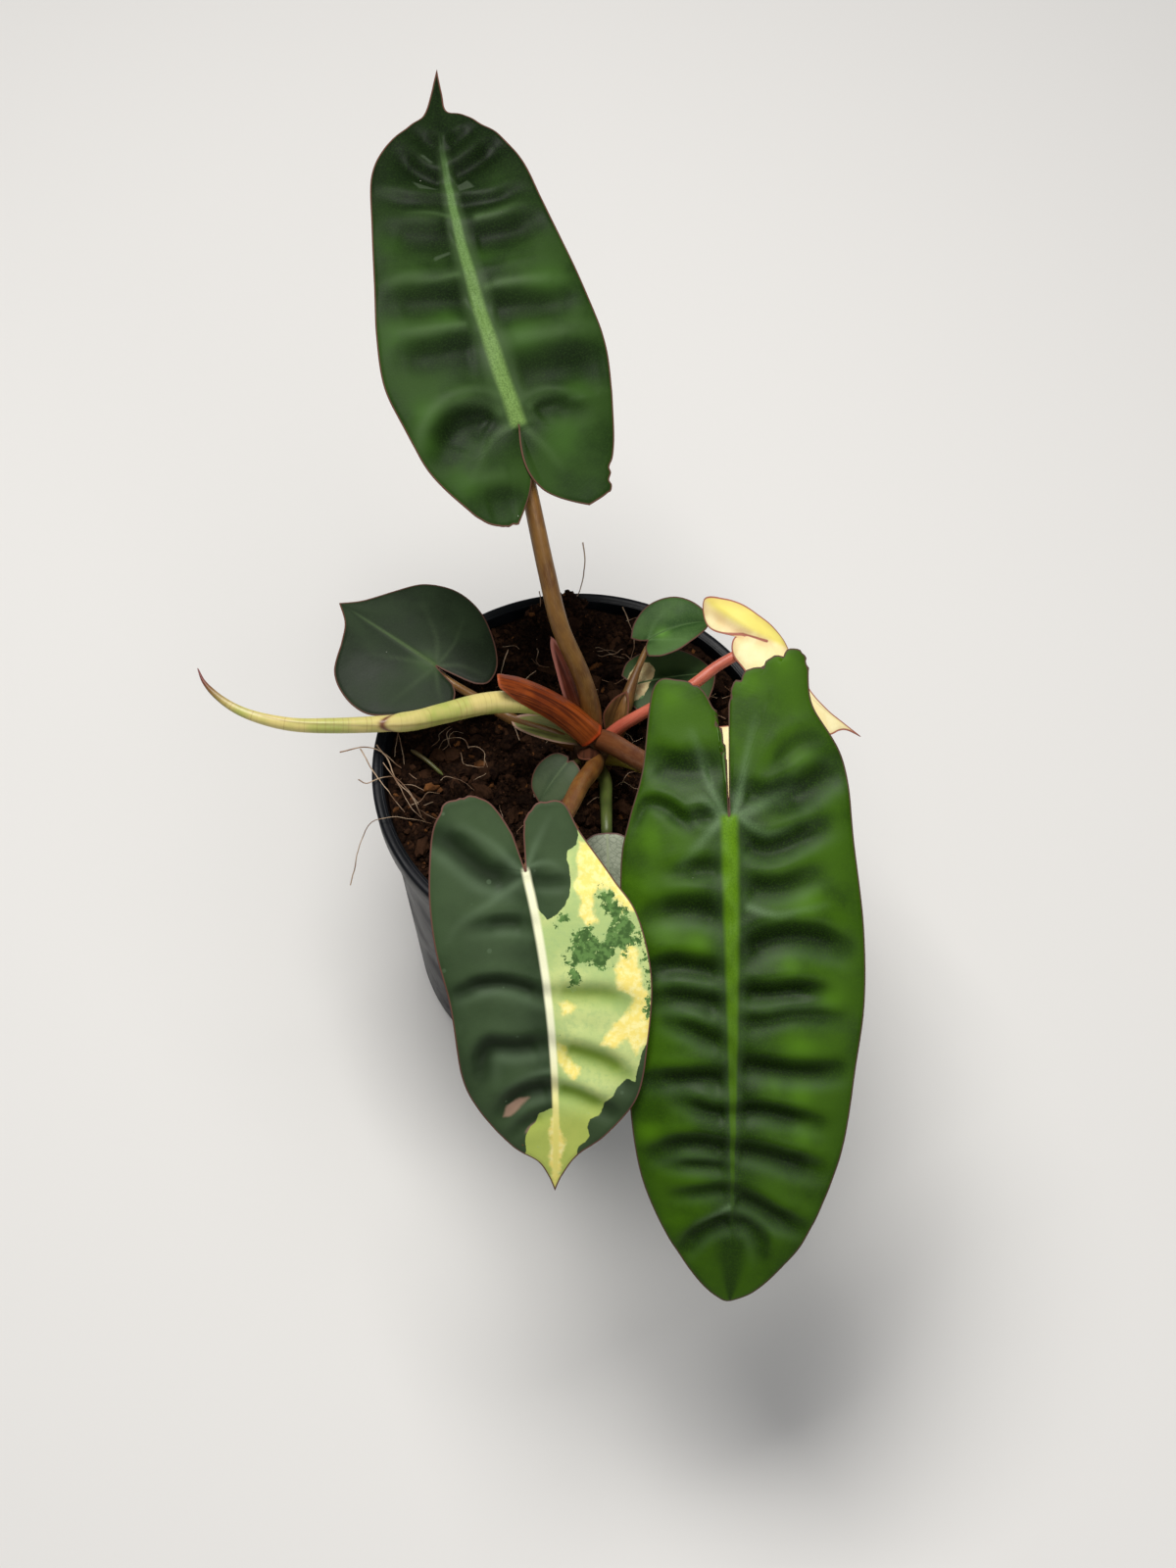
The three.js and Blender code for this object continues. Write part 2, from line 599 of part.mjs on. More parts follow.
// Each stalk is cut clear of the stem and of the stalks placed before it
const taken = [stem(GAP)];
for (const name of Object.keys(petioles)) {
  const path = petiolePath(name);
  const { sizes } = petioles[name];
  const clear = blade(blades[name], GAP + 0.1);
  const look = looks[`petiole${name}`] ?? looks.petiole;
  place(`petiole_${name}`, fitted(stalk(path, sizes), [...taken, clear]), look);
  taken.push(stalk(path, sizes, { grow: GAP }));
}
place("spear", fitted(stalk(spear.path, spear.sizes, spear.shape), taken), looks.spear);
taken.push(stalk(spear.path, spear.sizes, { ...spear.shape, grow: GAP + 0.15 }));
for (const [name, spec] of Object.entries(sheaths)) {
  place(name, fitted(blade(spec), taken), looks[name]);
}
for (const [name, spec] of Object.entries(blades)) {
  place(`blade_${name}`, blade(spec), looks[name]);
}

export default plant;
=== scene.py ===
# A potted philodendron with long ribbed leaves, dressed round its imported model. Metres, +Z up.
import json
import math
import random

import bmesh
import bpy
import numpy as np
from mathutils import Matrix, Vector, kdtree, noise

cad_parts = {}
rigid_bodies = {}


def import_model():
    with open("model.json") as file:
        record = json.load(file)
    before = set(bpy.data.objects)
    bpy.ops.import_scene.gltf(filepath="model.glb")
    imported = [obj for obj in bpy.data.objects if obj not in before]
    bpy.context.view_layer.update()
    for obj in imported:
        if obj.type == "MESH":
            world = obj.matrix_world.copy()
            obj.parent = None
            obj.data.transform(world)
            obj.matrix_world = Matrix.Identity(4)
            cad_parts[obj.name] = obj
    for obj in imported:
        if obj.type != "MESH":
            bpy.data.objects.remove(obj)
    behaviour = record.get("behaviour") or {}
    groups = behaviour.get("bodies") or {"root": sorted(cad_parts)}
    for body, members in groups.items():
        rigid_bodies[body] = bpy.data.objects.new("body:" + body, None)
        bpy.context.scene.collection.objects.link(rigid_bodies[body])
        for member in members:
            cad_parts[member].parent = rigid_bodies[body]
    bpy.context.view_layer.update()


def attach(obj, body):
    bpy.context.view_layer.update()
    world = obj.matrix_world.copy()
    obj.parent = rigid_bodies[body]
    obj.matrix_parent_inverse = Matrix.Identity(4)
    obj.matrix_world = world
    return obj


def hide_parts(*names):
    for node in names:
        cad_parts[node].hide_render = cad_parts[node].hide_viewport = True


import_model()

mm = 0.001
scene = bpy.context.scene


# Node helpers

class Field:
    # A value in a node tree: arithmetic on it adds math nodes, its methods add the commonest others
    def __init__(self, tree, socket):
        self.tree, self.socket = tree, socket

    def calc(self, operation, *others):
        return field(self.tree, "ShaderNodeMath", dict(enumerate((self, *others))), operation=operation)

    def __add__(self, other):
        return self.calc("ADD", other)

    def __sub__(self, other):
        return self.calc("SUBTRACT", other)

    def __rsub__(self, other):
        return (self * -1.0).calc("ADD", other)

    def __mul__(self, other):
        return self.calc("MULTIPLY", other)

    def __truediv__(self, other):
        return self.calc("DIVIDE", other)

    def __abs__(self):
        return self.calc("ABSOLUTE")

    def between(self, low, high, start=0.0, end=1.0, kind="SMOOTHSTEP"):
        inputs = {"Value": self, "From Min": low, "From Max": high, "To Min": start, "To Max": end}
        return field(self.tree, "ShaderNodeMapRange", inputs, "Result", interpolation_type=kind)

    def mix(self, first, second):
        # From the first colour to the second by this amount
        first, second = [(*colour, 1) if isinstance(colour, tuple) else colour for colour in (first, second)]
        return field(self.tree, "ShaderNodeMix", {0: self, 6: first, 7: second}, 2, data_type="RGBA")

    def split(self):
        return [Field(self.tree, socket) for socket in
                addNode(self.tree, "ShaderNodeSeparateXYZ", {0: self}).outputs]

    def noise(self, scale, detail=3.0, roughness=0.5, distortion=0.0, output="Fac"):
        inputs = {"Vector": self, "Scale": scale, "Detail": detail, "Roughness": roughness,
                  "Distortion": distortion}
        return field(self.tree, "ShaderNodeTexNoise", inputs, output)

    def to(self, socket):
        self.tree.links.new(self.socket, socket)


def addNode(tree, kind, inputs=None, **settings):
    node = tree.nodes.new(kind)
    for key, value in settings.items():
        setattr(node, key, value)
    for key, value in (inputs or {}).items():
        if isinstance(value, Field):
            value.to(node.inputs[key])
        else:
            node.inputs[key].default_value = value
    return node


def field(tree, kind, inputs=None, output=0, **settings):
    # Adds a node and gives the value of one of its outputs
    return Field(tree, addNode(tree, kind, inputs, **settings).outputs[output])


def vectorCalc(operation, *values, scale=None):
    inputs = dict(enumerate(values))
    if scale is not None:
        inputs["Scale"] = scale
    output = "Value" if operation == "DOT_PRODUCT" else "Vector"
    return field(values[0].tree, "ShaderNodeVectorMath", inputs, output, operation=operation)


def combine(tree, x=0.0, y=0.0, z=0.0):
    return field(tree, "ShaderNodeCombineXYZ", {0: x, 1: y, 2: z})


def newGroup(name, kind, inputs, outputs):
    # A node group, its inputs by name, and a function that sets one of its outputs
    tree = bpy.data.node_groups.new(name, kind)
    for label, (socket, value) in inputs.items():
        item = tree.interface.new_socket(label, in_out="INPUT", socket_type=f"NodeSocket{socket}")
        if value is not None:
            item.default_value = value
    for label, socket in outputs.items():
        tree.interface.new_socket(label, in_out="OUTPUT", socket_type=f"NodeSocket{socket}")
    sockets = tree.nodes.new("NodeGroupInput").outputs
    given = {label: Field(tree, sockets[label]) for label in inputs}
    result = tree.nodes.new("NodeGroupOutput").inputs
    return tree, given, lambda label, value: value.to(result[label])


def newNodes(name, inputs):
    inputs = {"Geometry": ("Geometry", None), **inputs, "Material": ("Material", None)}
    return newGroup(name, "GeometryNodeTree", inputs, {"Geometry": "Geometry"})


def named(tree, label, kind="FLOAT"):
    return field(tree, "GeometryNodeInputNamedAttribute", {"Name": label}, data_type=kind)


def store(geometry, label, value, kind="FLOAT", domain="POINT"):
    inputs = {"Geometry": geometry, "Name": label, "Value": value}
    return field(geometry.tree, "GeometryNodeStoreNamedAttribute", inputs, data_type=kind, domain=domain)


def move(geometry, offset):
    return field(geometry.tree, "GeometryNodeSetPosition", {"Geometry": geometry, "Offset": offset})


def closeTree(geometry, given, give, smooth=True):
    tree = geometry.tree
    shaded = field(tree, "GeometryNodeSetShadeSmooth", {"Geometry": geometry, "Shade Smooth": smooth})
    real = field(tree, "GeometryNodeRealizeInstances", {"Geometry": shaded})
    give("Geometry", field(tree, "GeometryNodeSetMaterial", {"Geometry": real, "Material": given["Material"]}))
    return tree


def bakeMesh(piece):
    # Keeps the mesh that a piece's modifier makes, and removes the modifier
    graph = bpy.context.evaluated_depsgraph_get()
    made = bpy.data.meshes.new_from_object(
        piece.evaluated_get(graph), preserve_all_data_layers=True, depsgraph=graph)
    piece.modifiers.clear()
    old = piece.data
    piece.data = made
    bpy.data.meshes.remove(old)
    made.name = piece.name


def settle(piece, tree, values):
    # Runs a node tree on a piece and keeps the mesh that it makes
    modifier = piece.modifiers.new(tree.name, "NODES")
    modifier.node_group = tree
    for item in tree.interface.items_tree:
        if item.item_type == "SOCKET" and item.in_out == "INPUT" and item.name in values:
            modifier[item.identifier] = values[item.name]
    bakeMesh(piece)
    return piece


def addPiece(name, data):
    piece = bpy.data.objects.new(name, data)
    scene.collection.objects.link(piece)
    return piece


def meshFrom(name, points, faces, layers=None, edges=()):
    # A mesh object from points in millimetres, with named values on its points
    mesh = bpy.data.meshes.new(name)
    mesh.from_pydata((np.asarray(points, float) * mm).tolist(), list(edges), faces)
    for label, values in (layers or {}).items():
        values = np.asarray(values, np.float32)
        flat = values.ndim == 1
        layer = mesh.attributes.new(label, "FLOAT" if flat else "FLOAT_VECTOR", "POINT")
        layer.data.foreach_set("value" if flat else "vector", values.ravel())
    mesh.polygons.foreach_set("use_smooth", [True] * len(mesh.polygons))
    return addPiece(name, mesh)


def circle(count):
    # Points at even turns round a circle of radius 1
    return [(math.cos(2 * math.pi * i / count), math.sin(2 * math.pi * i / count)) for i in range(count)]


def tubeFaces(rings, sides, flip=False):
    # Faces of a tube of rings with a flat face at each end; flip where the rings run the other way round
    faces = []
    for ring in range(rings - 1):
        for j in range(sides):
            a, b = ring * sides + j, ring * sides + (j + 1) % sides
            faces.append([a, a + sides, b + sides, b] if flip else [a, b, b + sides, a + sides])
    low, high = list(range(sides)), list(range((rings - 1) * sides, rings * sides))
    return faces + ([low, high[::-1]] if flip else [low[::-1], high])


def turnedFaces(rings, sides, flip=False):
    # Faces of a turned shape: a first point, its rings and a last point
    faces, last = [], 1 + (rings - 1) * sides
    for j in range(sides):
        k = (j + 1) % sides
        faces.append([0, 1 + k, 1 + j] if flip else [0, 1 + j, 1 + k])
        for ring in range(rings - 1):
            a, b = 1 + ring * sides, 1 + (ring + 1) * sides
            faces.append([a + j, a + k, b + k, b + j] if flip else [a + j, b + j, b + k, a + k])
        end = last + sides
        faces.append([end, last + j, last + k] if flip else [end, last + k, last + j])
    return faces


def keep(piece, slotName, *nodes):
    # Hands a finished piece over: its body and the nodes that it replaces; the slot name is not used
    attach(piece, "root")
    if nodes:
        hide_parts(*nodes)
    print("made", piece.name, len(piece.data.polygons), "faces")
    return piece


# Materials: shared effects

def bareMaterial(name, roughness, specular):
    material = bpy.data.materials.new(name)
    material.use_nodes = True
    tree = material.node_tree
    shader = tree.nodes["Principled BSDF"].inputs
    shader["Roughness"].default_value = roughness
    shader["Specular IOR Level"].default_value = specular
    return material, tree, shader


def attributeOf(tree, label, output="Fac"):
    return field(tree, "ShaderNodeAttribute", output=output, attribute_name=label)


def objectPlace(tree):
    return field(tree, "ShaderNodeTexCoord", output="Object")


def roughen(shader, height, strength, distance):
    inputs = {"Strength": strength, "Distance": distance, "Height": height}
    field(height.tree, "ShaderNodeBump", inputs).to(shader["Normal"])


def useGroup(tree, group, inputs):
    outputs = addNode(tree, "ShaderNodeGroup", inputs, node_tree=group).outputs
    return {socket.name: Field(tree, socket) for socket in outputs}


def makeLeafPattern():
    # Masks that follow a leaf: its midrib, margin, bulges for painted light and the shaded side of its folds
    # for painted shade
    tree, given, give = newGroup("leafPattern", "ShaderNodeTree", {
        "Plan": ("Vector", (0, 0, 0)), "Mark": ("Vector", (0, 0, 0)), "Rib Wide": ("Float", 2.5),
        "Rib Narrow": ("Float", 0.8), "Rib End": ("Float", 120.0), "Margin Width": ("Float", 0.42),
    }, dict.fromkeys(("Rib", "Glow", "Margin", "Bulge", "Trough", "Under"), "Float"))
    across, along, out = given["Plan"].split()
    shade, edge, under = given["Mark"].split()
    half = along.between(0.0, given["Rib End"], given["Rib Wide"], given["Rib Narrow"])
    aside = abs(across) / half
    foot = along.between(-1.5, 0.5)
    tip = (along / given["Rib End"]).between(0.7, 1.0, 1.0, 0.0)
    give("Rib", aside.between(0.45, 1.25, 1.0, 0.0) * foot * tip)
    give("Glow", aside.between(0.8, 2.8, 1.0, 0.0) * foot * tip)
    give("Margin", (edge / given["Margin Width"]).between(0.6, 1.3, 1.0, 0.0))
    middle = out.between(0.1, 0.4) * out.between(0.8, 1.0, 1.0, 0.5)
    give("Bulge", shade.between(0.0, 0.35, 1.0, 0.0) * middle)
    give("Trough", shade)
    give("Under", under)
    return tree


def makeSpecks():
    # Small scattered dots, few and of uneven strength
    tree, given, give = newGroup("specks", "ShaderNodeTree", {
        "Place": ("Vector", (0, 0, 0)), "Spacing": ("Float", 0.006), "Radius": ("Float", 0.0002),
        "Share": ("Float", 0.3)}, {"Mask": "Float"})
    scale = field(tree, "ShaderNodeMath", {0: 1.0, 1: given["Spacing"]}, operation="DIVIDE")
    cells = addNode(tree, "ShaderNodeTexVoronoi", {"Vector": given["Place"], "Scale": scale}).outputs
    choice, girth, _ = Field(tree, cells["Color"]).split()
    size = given["Radius"] * scale * (girth + 0.5)
    dot = (Field(tree, cells["Distance"]) / size).between(0.6, 1.0, 1.0, 0.0)
    give("Mask", dot * choice.calc("LESS_THAN", given["Share"]))
    return tree


leafPattern = makeLeafPattern()
specks = makeSpecks()


def speckle(place, spacing, radius, share):
    inputs = {"Place": place, "Spacing": spacing, "Radius": radius, "Share": share}
    return useGroup(place.tree, specks, inputs)["Mask"]


def leafInputs(tree, look):
    # What each leaf's skin starts from: its place, its plan's three values and its masks
    plan, place = attributeOf(tree, "plan", "Vector"), objectPlace(tree)
    masks = useGroup(tree, leafPattern, {
        "Plan": plan, "Mark": attributeOf(tree, "mark", "Vector"), "Rib Wide": look["ribWide"],
        "Rib Narrow": look["ribNarrow"], "Rib End": look["ribEnd"]})
    return place, plan.split(), masks


def leafBump(shader, place, across, along):
    # Fine cells and faint parallel veins under a waxy skin
    aside = abs(across)
    grain = combine(place.tree, along - aside * 0.3, aside * 0.12)
    height = place.noise(2600.0, detail=2.0) * 0.45 + grain.noise(1.5) * 0.6
    roughen(shader, height, strength=0.25, distance=0.0002)


leafLook = dict(
    specular=0.12, roughness=0.5, crest=0.5, midribShade=0.0, shade=0.6, sheen=0.0, tipShade=0.0, rays=0.5, glow=0.25,
    margin=(0.11, 0.05, 0.035), dust=(0.5, 0.5, 0.42), crumb=(0.2, 0.06, 0.02), paintedHighlight=(0.14, 0.18, 0.12))


def leafSkin(name, look):
    # A green leaf: mottled, painted light on its bulges, painted shade in its folds, a pale midrib and a
    # red-brown margin
    look = {**leafLook, "vivid": look["bright"], **look}
    dull, bright, vein, trough = look["roughness"], look["bright"], look["vein"], look["trough"]
    material, tree, shader = bareMaterial(name, dull, look["specular"])
    place, (across, along, out), masks = leafInputs(tree, look)
    patches = place.noise(55.0, detail=4.0, roughness=0.55)
    fine = place.noise(2200.0, detail=2.0)
    colour = patches.between(0.38, 0.64).mix(look["deep"], look["green"])
    # Painted light: the bulges between the folds are made lighter, as where light falls on their tops
    vivid = masks["Bulge"] * patches.between(0.35, 0.6, 0.4, 1.0)
    colour = (vivid * look["crest"]).mix(colour, bright)
    # Painted shade, darker towards the midrib where the folds lie close
    colour = (out.between(0.08, 0.5, 1.0, 0.0) * look["midribShade"]).mix(colour, trough)
    spots = attributeOf(tree, "vivid") * patches.between(0.3, 0.6, 0.3, 0.75)
    colour = spots.mix(colour, look["vivid"])
    # Painted shade on the side of each fold that faces away from the light
    colour = (masks["Trough"] * look["shade"]).mix(colour, trough)
    # Painted sheen beside each fold, in the pale vein colour
    sheen = attributeOf(tree, "sheen") * patches.between(0.3, 0.6, 0.5, 1.0)
    colour = (sheen * look["sheen"]).mix(colour, vein)
    # Painted shade towards the tip, which faces away from the light
    tipShade = along.between(look["ribEnd"] * 0.35, look["ribEnd"] * 0.9)
    colour = (tipShade * look["tipShade"]).mix(colour, trough)
    colour = (fine.between(0.4, 0.8) * 0.3).mix(colour, bright)
    ray = attributeOf(tree, "ray") * fine.between(0.25, 0.7, 0.7, 1.0)
    colour = (ray * look["rays"]).mix(colour, vein)
    # A paler band beside the midrib: partly the midrib's own pale edge, partly painted sheen
    colour = (masks["Glow"] * look["glow"]).mix(colour, vein)
    rib = along.between(0.0, look["ribEnd"], kind="LINEAR").mix(look["rib"], look["ribTip"])
    rib = fine.between(0.3, 0.75, 0.0, 0.55).mix(rib, bright)
    colour = masks["Rib"].mix(colour, rib)
    dust = speckle(place, spacing=0.006, radius=0.00016, share=0.4)
    colour = (dust * 0.5).mix(colour, look["dust"])
    crumbs = speckle(place, spacing=0.02, radius=0.0004, share=0.35)
    colour = (crumbs * 0.6).mix(colour, look["crumb"])
    # Where the skin shines: less rough, and lighter in colour as a painted highlight
    wet = attributeOf(tree, "wet").between(0.1, 0.8)
    colour = (wet * 0.22).mix(colour, look["paintedHighlight"])
    colour = (masks["Under"] * 0.75).mix(colour, look["under"])
    masks["Margin"].mix(colour, look["margin"]).to(shader["Base Color"])
    (patches.between(0.3, 0.7, dull - 0.06, dull + 0.08) - wet * 0.22).to(shader["Roughness"])
    leafBump(shader, place, across, along)
    return material


# Leaves: laying a blade out and bending it

# What a blade or a sheath has unless its own dictionary says otherwise, in millimetres and degrees
bladeBase = dict(
    bend=0, back=0, sweep=(-0.3, 0.45), arc=0.04, thick=0.7, lap=0, front=1, rise=2.4, sheenAt=3.3,
    depth=0.0, ribHeight=0.4, ribWidth=2.0, keel=1.0, ripple=0.8, rippleScale=45.0,
    folds=[], rays=[], vivid=[], patches={})


def evenly(line, count):
    # Points at even steps along a line
    hops = np.diff(line, axis=0)
    steps = np.hypot(*hops.T) if line.shape[1] == 2 else np.linalg.norm(hops, axis=1)
    run = np.concatenate([[0], np.cumsum(steps)])
    marks = np.linspace(0, run[-1], count)
    return np.stack([np.interp(marks, run, column) for column in line.T], 1)


def curveThrough(points, count, alpha=0.0):
    # A Catmull-Rom curve through all the points, at even steps; alpha 0.5 is its centripetal form
    knots = np.array(points, float)
    if alpha:
        knots = np.vstack([2 * knots[0] - knots[1], knots, 2 * knots[-1] - knots[-2]])
    else:
        knots = np.vstack([knots[0], knots, knots[-1]])
    line = []
    for p0, p1, p2, p3 in zip(knots, knots[1:], knots[2:], knots[3:]):
        t = np.linspace(0, 1, 40, endpoint=False)[:, None]
        if alpha:
            a, b, c = [max(np.linalg.norm(q - p) ** alpha, 1e-4) for p, q in ((p0, p1), (p1, p2), (p2, p3))]
            v1 = ((p1 - p0) / a - (p2 - p0) / (a + b) + (p2 - p1) / b) * b
            v2 = ((p2 - p1) / b - (p3 - p1) / (b + c) + (p3 - p2) / c) * b
        else:
            v1, v2 = (p2 - p0) / 2, (p3 - p1) / 2
        swing = (2 * p1 - 2 * p2 + v1 + v2) * t ** 3 + (3 * p2 - 3 * p1 - 2 * v1 - v2) * t ** 2
        line.append(swing + v1 * t + p1)
    line.append(knots[-2:-1])
    return evenly(np.vstack(line), count)


def smooth(low, high, value):
    t = np.clip((value - low) / (high - low), 0, 1)
    return t * t * (3 - 2 * t)


def directionsAt(leaf, y):
    u = y / leaf["length"]
    start, end = leaf["pitch"]
    pitch = np.radians(np.where(u >= 0, start + (end - start) * u, start - leaf["back"] * u))
    heading = np.radians(leaf["heading"] + leaf["bend"] * u)
    along = np.stack([np.cos(pitch) * np.cos(heading), np.cos(pitch) * np.sin(heading), np.sin(pitch)], -1)
    across = np.stack([np.sin(heading), -np.cos(heading), np.zeros_like(heading)], -1)
    return along, across, np.cross(across, along)


def bendBlade(leaf, x, y, height=0.0):
    # Places flat points in space: down by the pitch, sideways by the bend, each half by its fold and droop
    x, y = np.asarray(x, float), np.asarray(y, float)
    steps = 16
    point = np.zeros(x.shape + (3,)) + np.array(leaf["joint"], float)
    for i in range(steps):
        point += directionsAt(leaf, y * (i + 0.5) / steps)[0] * (y / steps)[..., None]
    _, across, over = directionsAt(leaf, y)
    right = x >= 0
    fold = np.radians(np.where(right, leaf["right"]["fold"], leaf["left"]["fold"]))
    droop = np.radians(np.where(right, leaf["right"]["droop"], leaf["left"]["droop"]))
    curl = (fold + droop) / leaf["halfWidth"]
    turned = fold - curl * np.abs(x)
    reach = (np.sin(fold) - np.sin(turned)) / curl
    rise = (np.cos(turned) - np.cos(fold)) / curl
    return point + across * (np.sign(x) * reach)[..., None] + over * (height + rise)[..., None]


def nickMargin(line, nicks):
    # Small bites and spikes where the real margin is torn
    draw = random.Random(nicks["seed"])
    run = np.concatenate([[0], np.cumsum(np.hypot(*np.diff(line, axis=0).T))])
    way = np.gradient(line, axis=0)
    outward = np.stack([-way[:, 1], way[:, 0]], 1) / np.linalg.norm(way, axis=1)[:, None]
    middle = line.mean(0)
    outward *= np.sign(((line - middle) * outward).sum(1))[:, None]
    shift = np.zeros(len(line))
    for _ in range(nicks["count"]):
        at, width = draw.uniform(*nicks["span"]), draw.uniform(*nicks["width"])
        depth = draw.uniform(0.3, 1.0) * nicks["depth"] * draw.choice((-1, -1, 0.5))
        away = (run - at) / width
        shift += depth * np.where(away < 0, np.exp(-(away * 2.2) ** 2), np.exp(-away ** 2))
    return line + outward * shift[:, None]


outlineSteps = 1500


def halfGrid(leaf, side):
    # Rows of one half, each from the midrib to the margin; the first ones fan out into the lobe
    half = leaf["right" if side > 0 else "left"]
    line = curveThrough(half["outline"], outlineSteps)
    length, fan, rows, columns = leaf["length"], leaf["fan"], leaf["rows"], leaf["columns"]
    low, high = leaf["sweep"]
    feet = np.linspace(0, length, rows + 1)
    slopes = low + (high - low) * feet / length
    past = line[:, 1] - slopes[:, None] * np.maximum(0, line[:, 0]) >= feet[:, None]
    at = np.maximum.accumulate(np.where(past.any(1), past.argmax(1), len(line) - 1)).astype(float)
    at[-1] = len(line) - 1
    for _ in range(6):
        at[1:-1] = (at[:-2] + 2 * at[1:-1] + at[2:]) / 4
    if fan:
        at = np.concatenate([at[0] * np.arange(fan) / fan, at])
        feet = np.concatenate([np.zeros(fan), feet])
    turn = np.concatenate([np.arange(fan) / max(fan, 1), np.ones(rows + 1)])
    if "nicks" in half:
        line = nickMargin(line, half["nicks"])
    edge = np.stack([np.interp(at, np.arange(len(line)), column) for column in line.T], 1)
    t = np.linspace(0, 1, columns + 1)
    out = t - 0.1 * np.sin(2 * math.pi * t)
    bow = (half.get("bow", 0) * (1 - turn) ** 1.5)[:, None]
    arch = np.sin(math.pi * out)
    rise = edge[:, 1] - feet
    reach = np.hypot(edge[:, 0], rise)[:, None]
    arc = leaf["arc"] * (turn ** 2)[:, None] * reach * arch
    x = edge[:, :1] * out + bow * rise[:, None] * arch
    y = feet[:, None] + rise[:, None] * out - bow * edge[:, :1] * arch - arc
    sinus = np.stack([x[0], y[0]], 1)[2:]
    brink = np.vstack([line, sinus]) if fan else line
    tree = kdtree.KDTree(len(brink))
    for i, point in enumerate(brink):
        tree.insert((point[0], point[1], 0), i)
    tree.balance()
    border = np.array([tree.find((a, b, 0))[2] for a, b in zip(x.ravel(), y.ravel())]).reshape(x.shape)
    border[:, -1] = 0
    return dict(x=side * x, y=y, out=np.ones_like(x) * out, edge=border)


def rayStrength(rays, x, y):
    # How strongly a point lies on one of the pale veins, given as lines in the blade's plan
    total = np.zeros_like(x)
    for line, width in rays:
        path = curveThrough(line, 60)
        share = np.linspace(1, 0.15, len(path))
        near = np.zeros_like(x)
        for (px, py), strength in zip(path, share):
            near = np.maximum(near, strength * np.exp(-((x - px) ** 2 + (y - py) ** 2) / width ** 2))
        total = np.maximum(total, near)
    return total


# The form of a fold, in its own widths; reach and ends are in millimetres
foldForm = dict(reach=12, ends=4.5, fall=2.1, crest=0.4, crestAt=-2.4, crestWidth=1.8,
                darkAt=0.3, darkAfter=2.5, darkBefore=1.5)


def foldShape(leaf, x, y):
    # Folds given as lines in the blade's plan: each sinks just in front of its line, comes up again over
    # the leaf's rise, and has a low crest behind it. The shade is strongest on the line, the sheen beside it.
    front, rise, sheenAt = leaf["front"], leaf["rise"], leaf["sheenAt"]
    height, shade, sheen = np.zeros_like(x), np.zeros_like(x), np.zeros_like(x)
    for line, width, strength in leaf["folds"]:
        path = curveThrough(line, 80)
        way = np.gradient(path, axis=0)
        normal = np.stack([-way[:, 1], way[:, 0]], 1) / np.linalg.norm(way, axis=1)[:, None]
        normal *= np.sign(normal[:, 1].mean()) * front
        low, high = path.min(0) - foldForm["reach"], path.max(0) + foldForm["reach"]
        close = np.flatnonzero((x > low[0]) & (x < high[0]) & (y > low[1]) & (y < high[1]))
        dx = x[close, None] - path[None, :, 0]
        dy = y[close, None] - path[None, :, 1]
        nearest = np.argmin(dx ** 2 + dy ** 2, axis=1)
        pick = (np.arange(len(close)), nearest)
        ahead = dx[pick] * normal[nearest, 0] + dy[pick] * normal[nearest, 1]
        past = np.abs(dx[pick] * normal[nearest, 1] - dy[pick] * normal[nearest, 0])
        t = nearest / (len(path) - 1)
        hold = smooth(-0.12, 0.1, t) * smooth(1.3, 0.75, t) * np.exp(-(past / foldForm["ends"]) ** 2) * strength
        ratio = ahead / width
        sink = np.exp(-((ratio - 1.0) / np.where(ratio > 1, rise, foldForm["fall"])) ** 2)
        crest = np.exp(-((ratio - foldForm["crestAt"]) / foldForm["crestWidth"]) ** 2)
        height[close] -= hold * (sink - foldForm["crest"] * crest)
        after = ratio > foldForm["darkAt"]
        spread = np.where(after, foldForm["darkAfter"], foldForm["darkBefore"])
        dark = np.exp(-((ratio - foldForm["darkAt"]) / spread) ** 2)
        shade[close] = 1 - (1 - shade[close]) * (1 - np.clip(hold, 0, 1) * dark)
        sheen[close] = np.maximum(sheen[close], np.clip(hold, 0, 1) * np.exp(-(ratio - sheenAt) ** 2))
    return height, np.clip(shade, 0, 1), sheen


def soften(heights, shape):
    # Evens out what is given on the rows and columns of both halves
    heights = heights.reshape(shape)
    for axis in (1, 2):
        count = shape[axis]
        wide = np.pad(heights, [(int(k == axis),) * 2 for k in range(3)], mode="edge")
        before, after = [np.take(wide, np.arange(at, at + count), axis) for at in (0, 2)]
        heights = (before + 2 * heights + after) / 4
    return heights.ravel()


def spotStrength(spots, x, y):
    # Soft round places in the blade's plan, each given with its radius
    total = np.zeros_like(x)
    for px, py, radius in spots:
        total = np.maximum(total, np.exp(-((x - px) ** 2 + (y - py) ** 2) / radius ** 2))
    return total


def insideness(shape, x, y):
    # Signed distance to a closed outline, positive inside
    shape = np.array(shape, float)
    nearest = np.full(x.shape, 1e9)
    inside = np.zeros(x.shape, bool)
    for (ax, ay), (bx, by) in zip(shape, np.roll(shape, -1, 0)):
        dx, dy = bx - ax, by - ay
        t = np.clip(((x - ax) * dx + (y - ay) * dy) / (dx * dx + dy * dy + 1e-9), 0, 1)
        nearest = np.minimum(nearest, np.hypot(x - ax - t * dx, y - ay - t * dy))
        crosses = (ay > y) != (by > y)
        level = ax + (y - ay) / (dy if abs(dy) > 1e-9 else 1e-9) * dx
        inside ^= crosses & (x < level)
    return np.where(inside, nearest, -nearest)


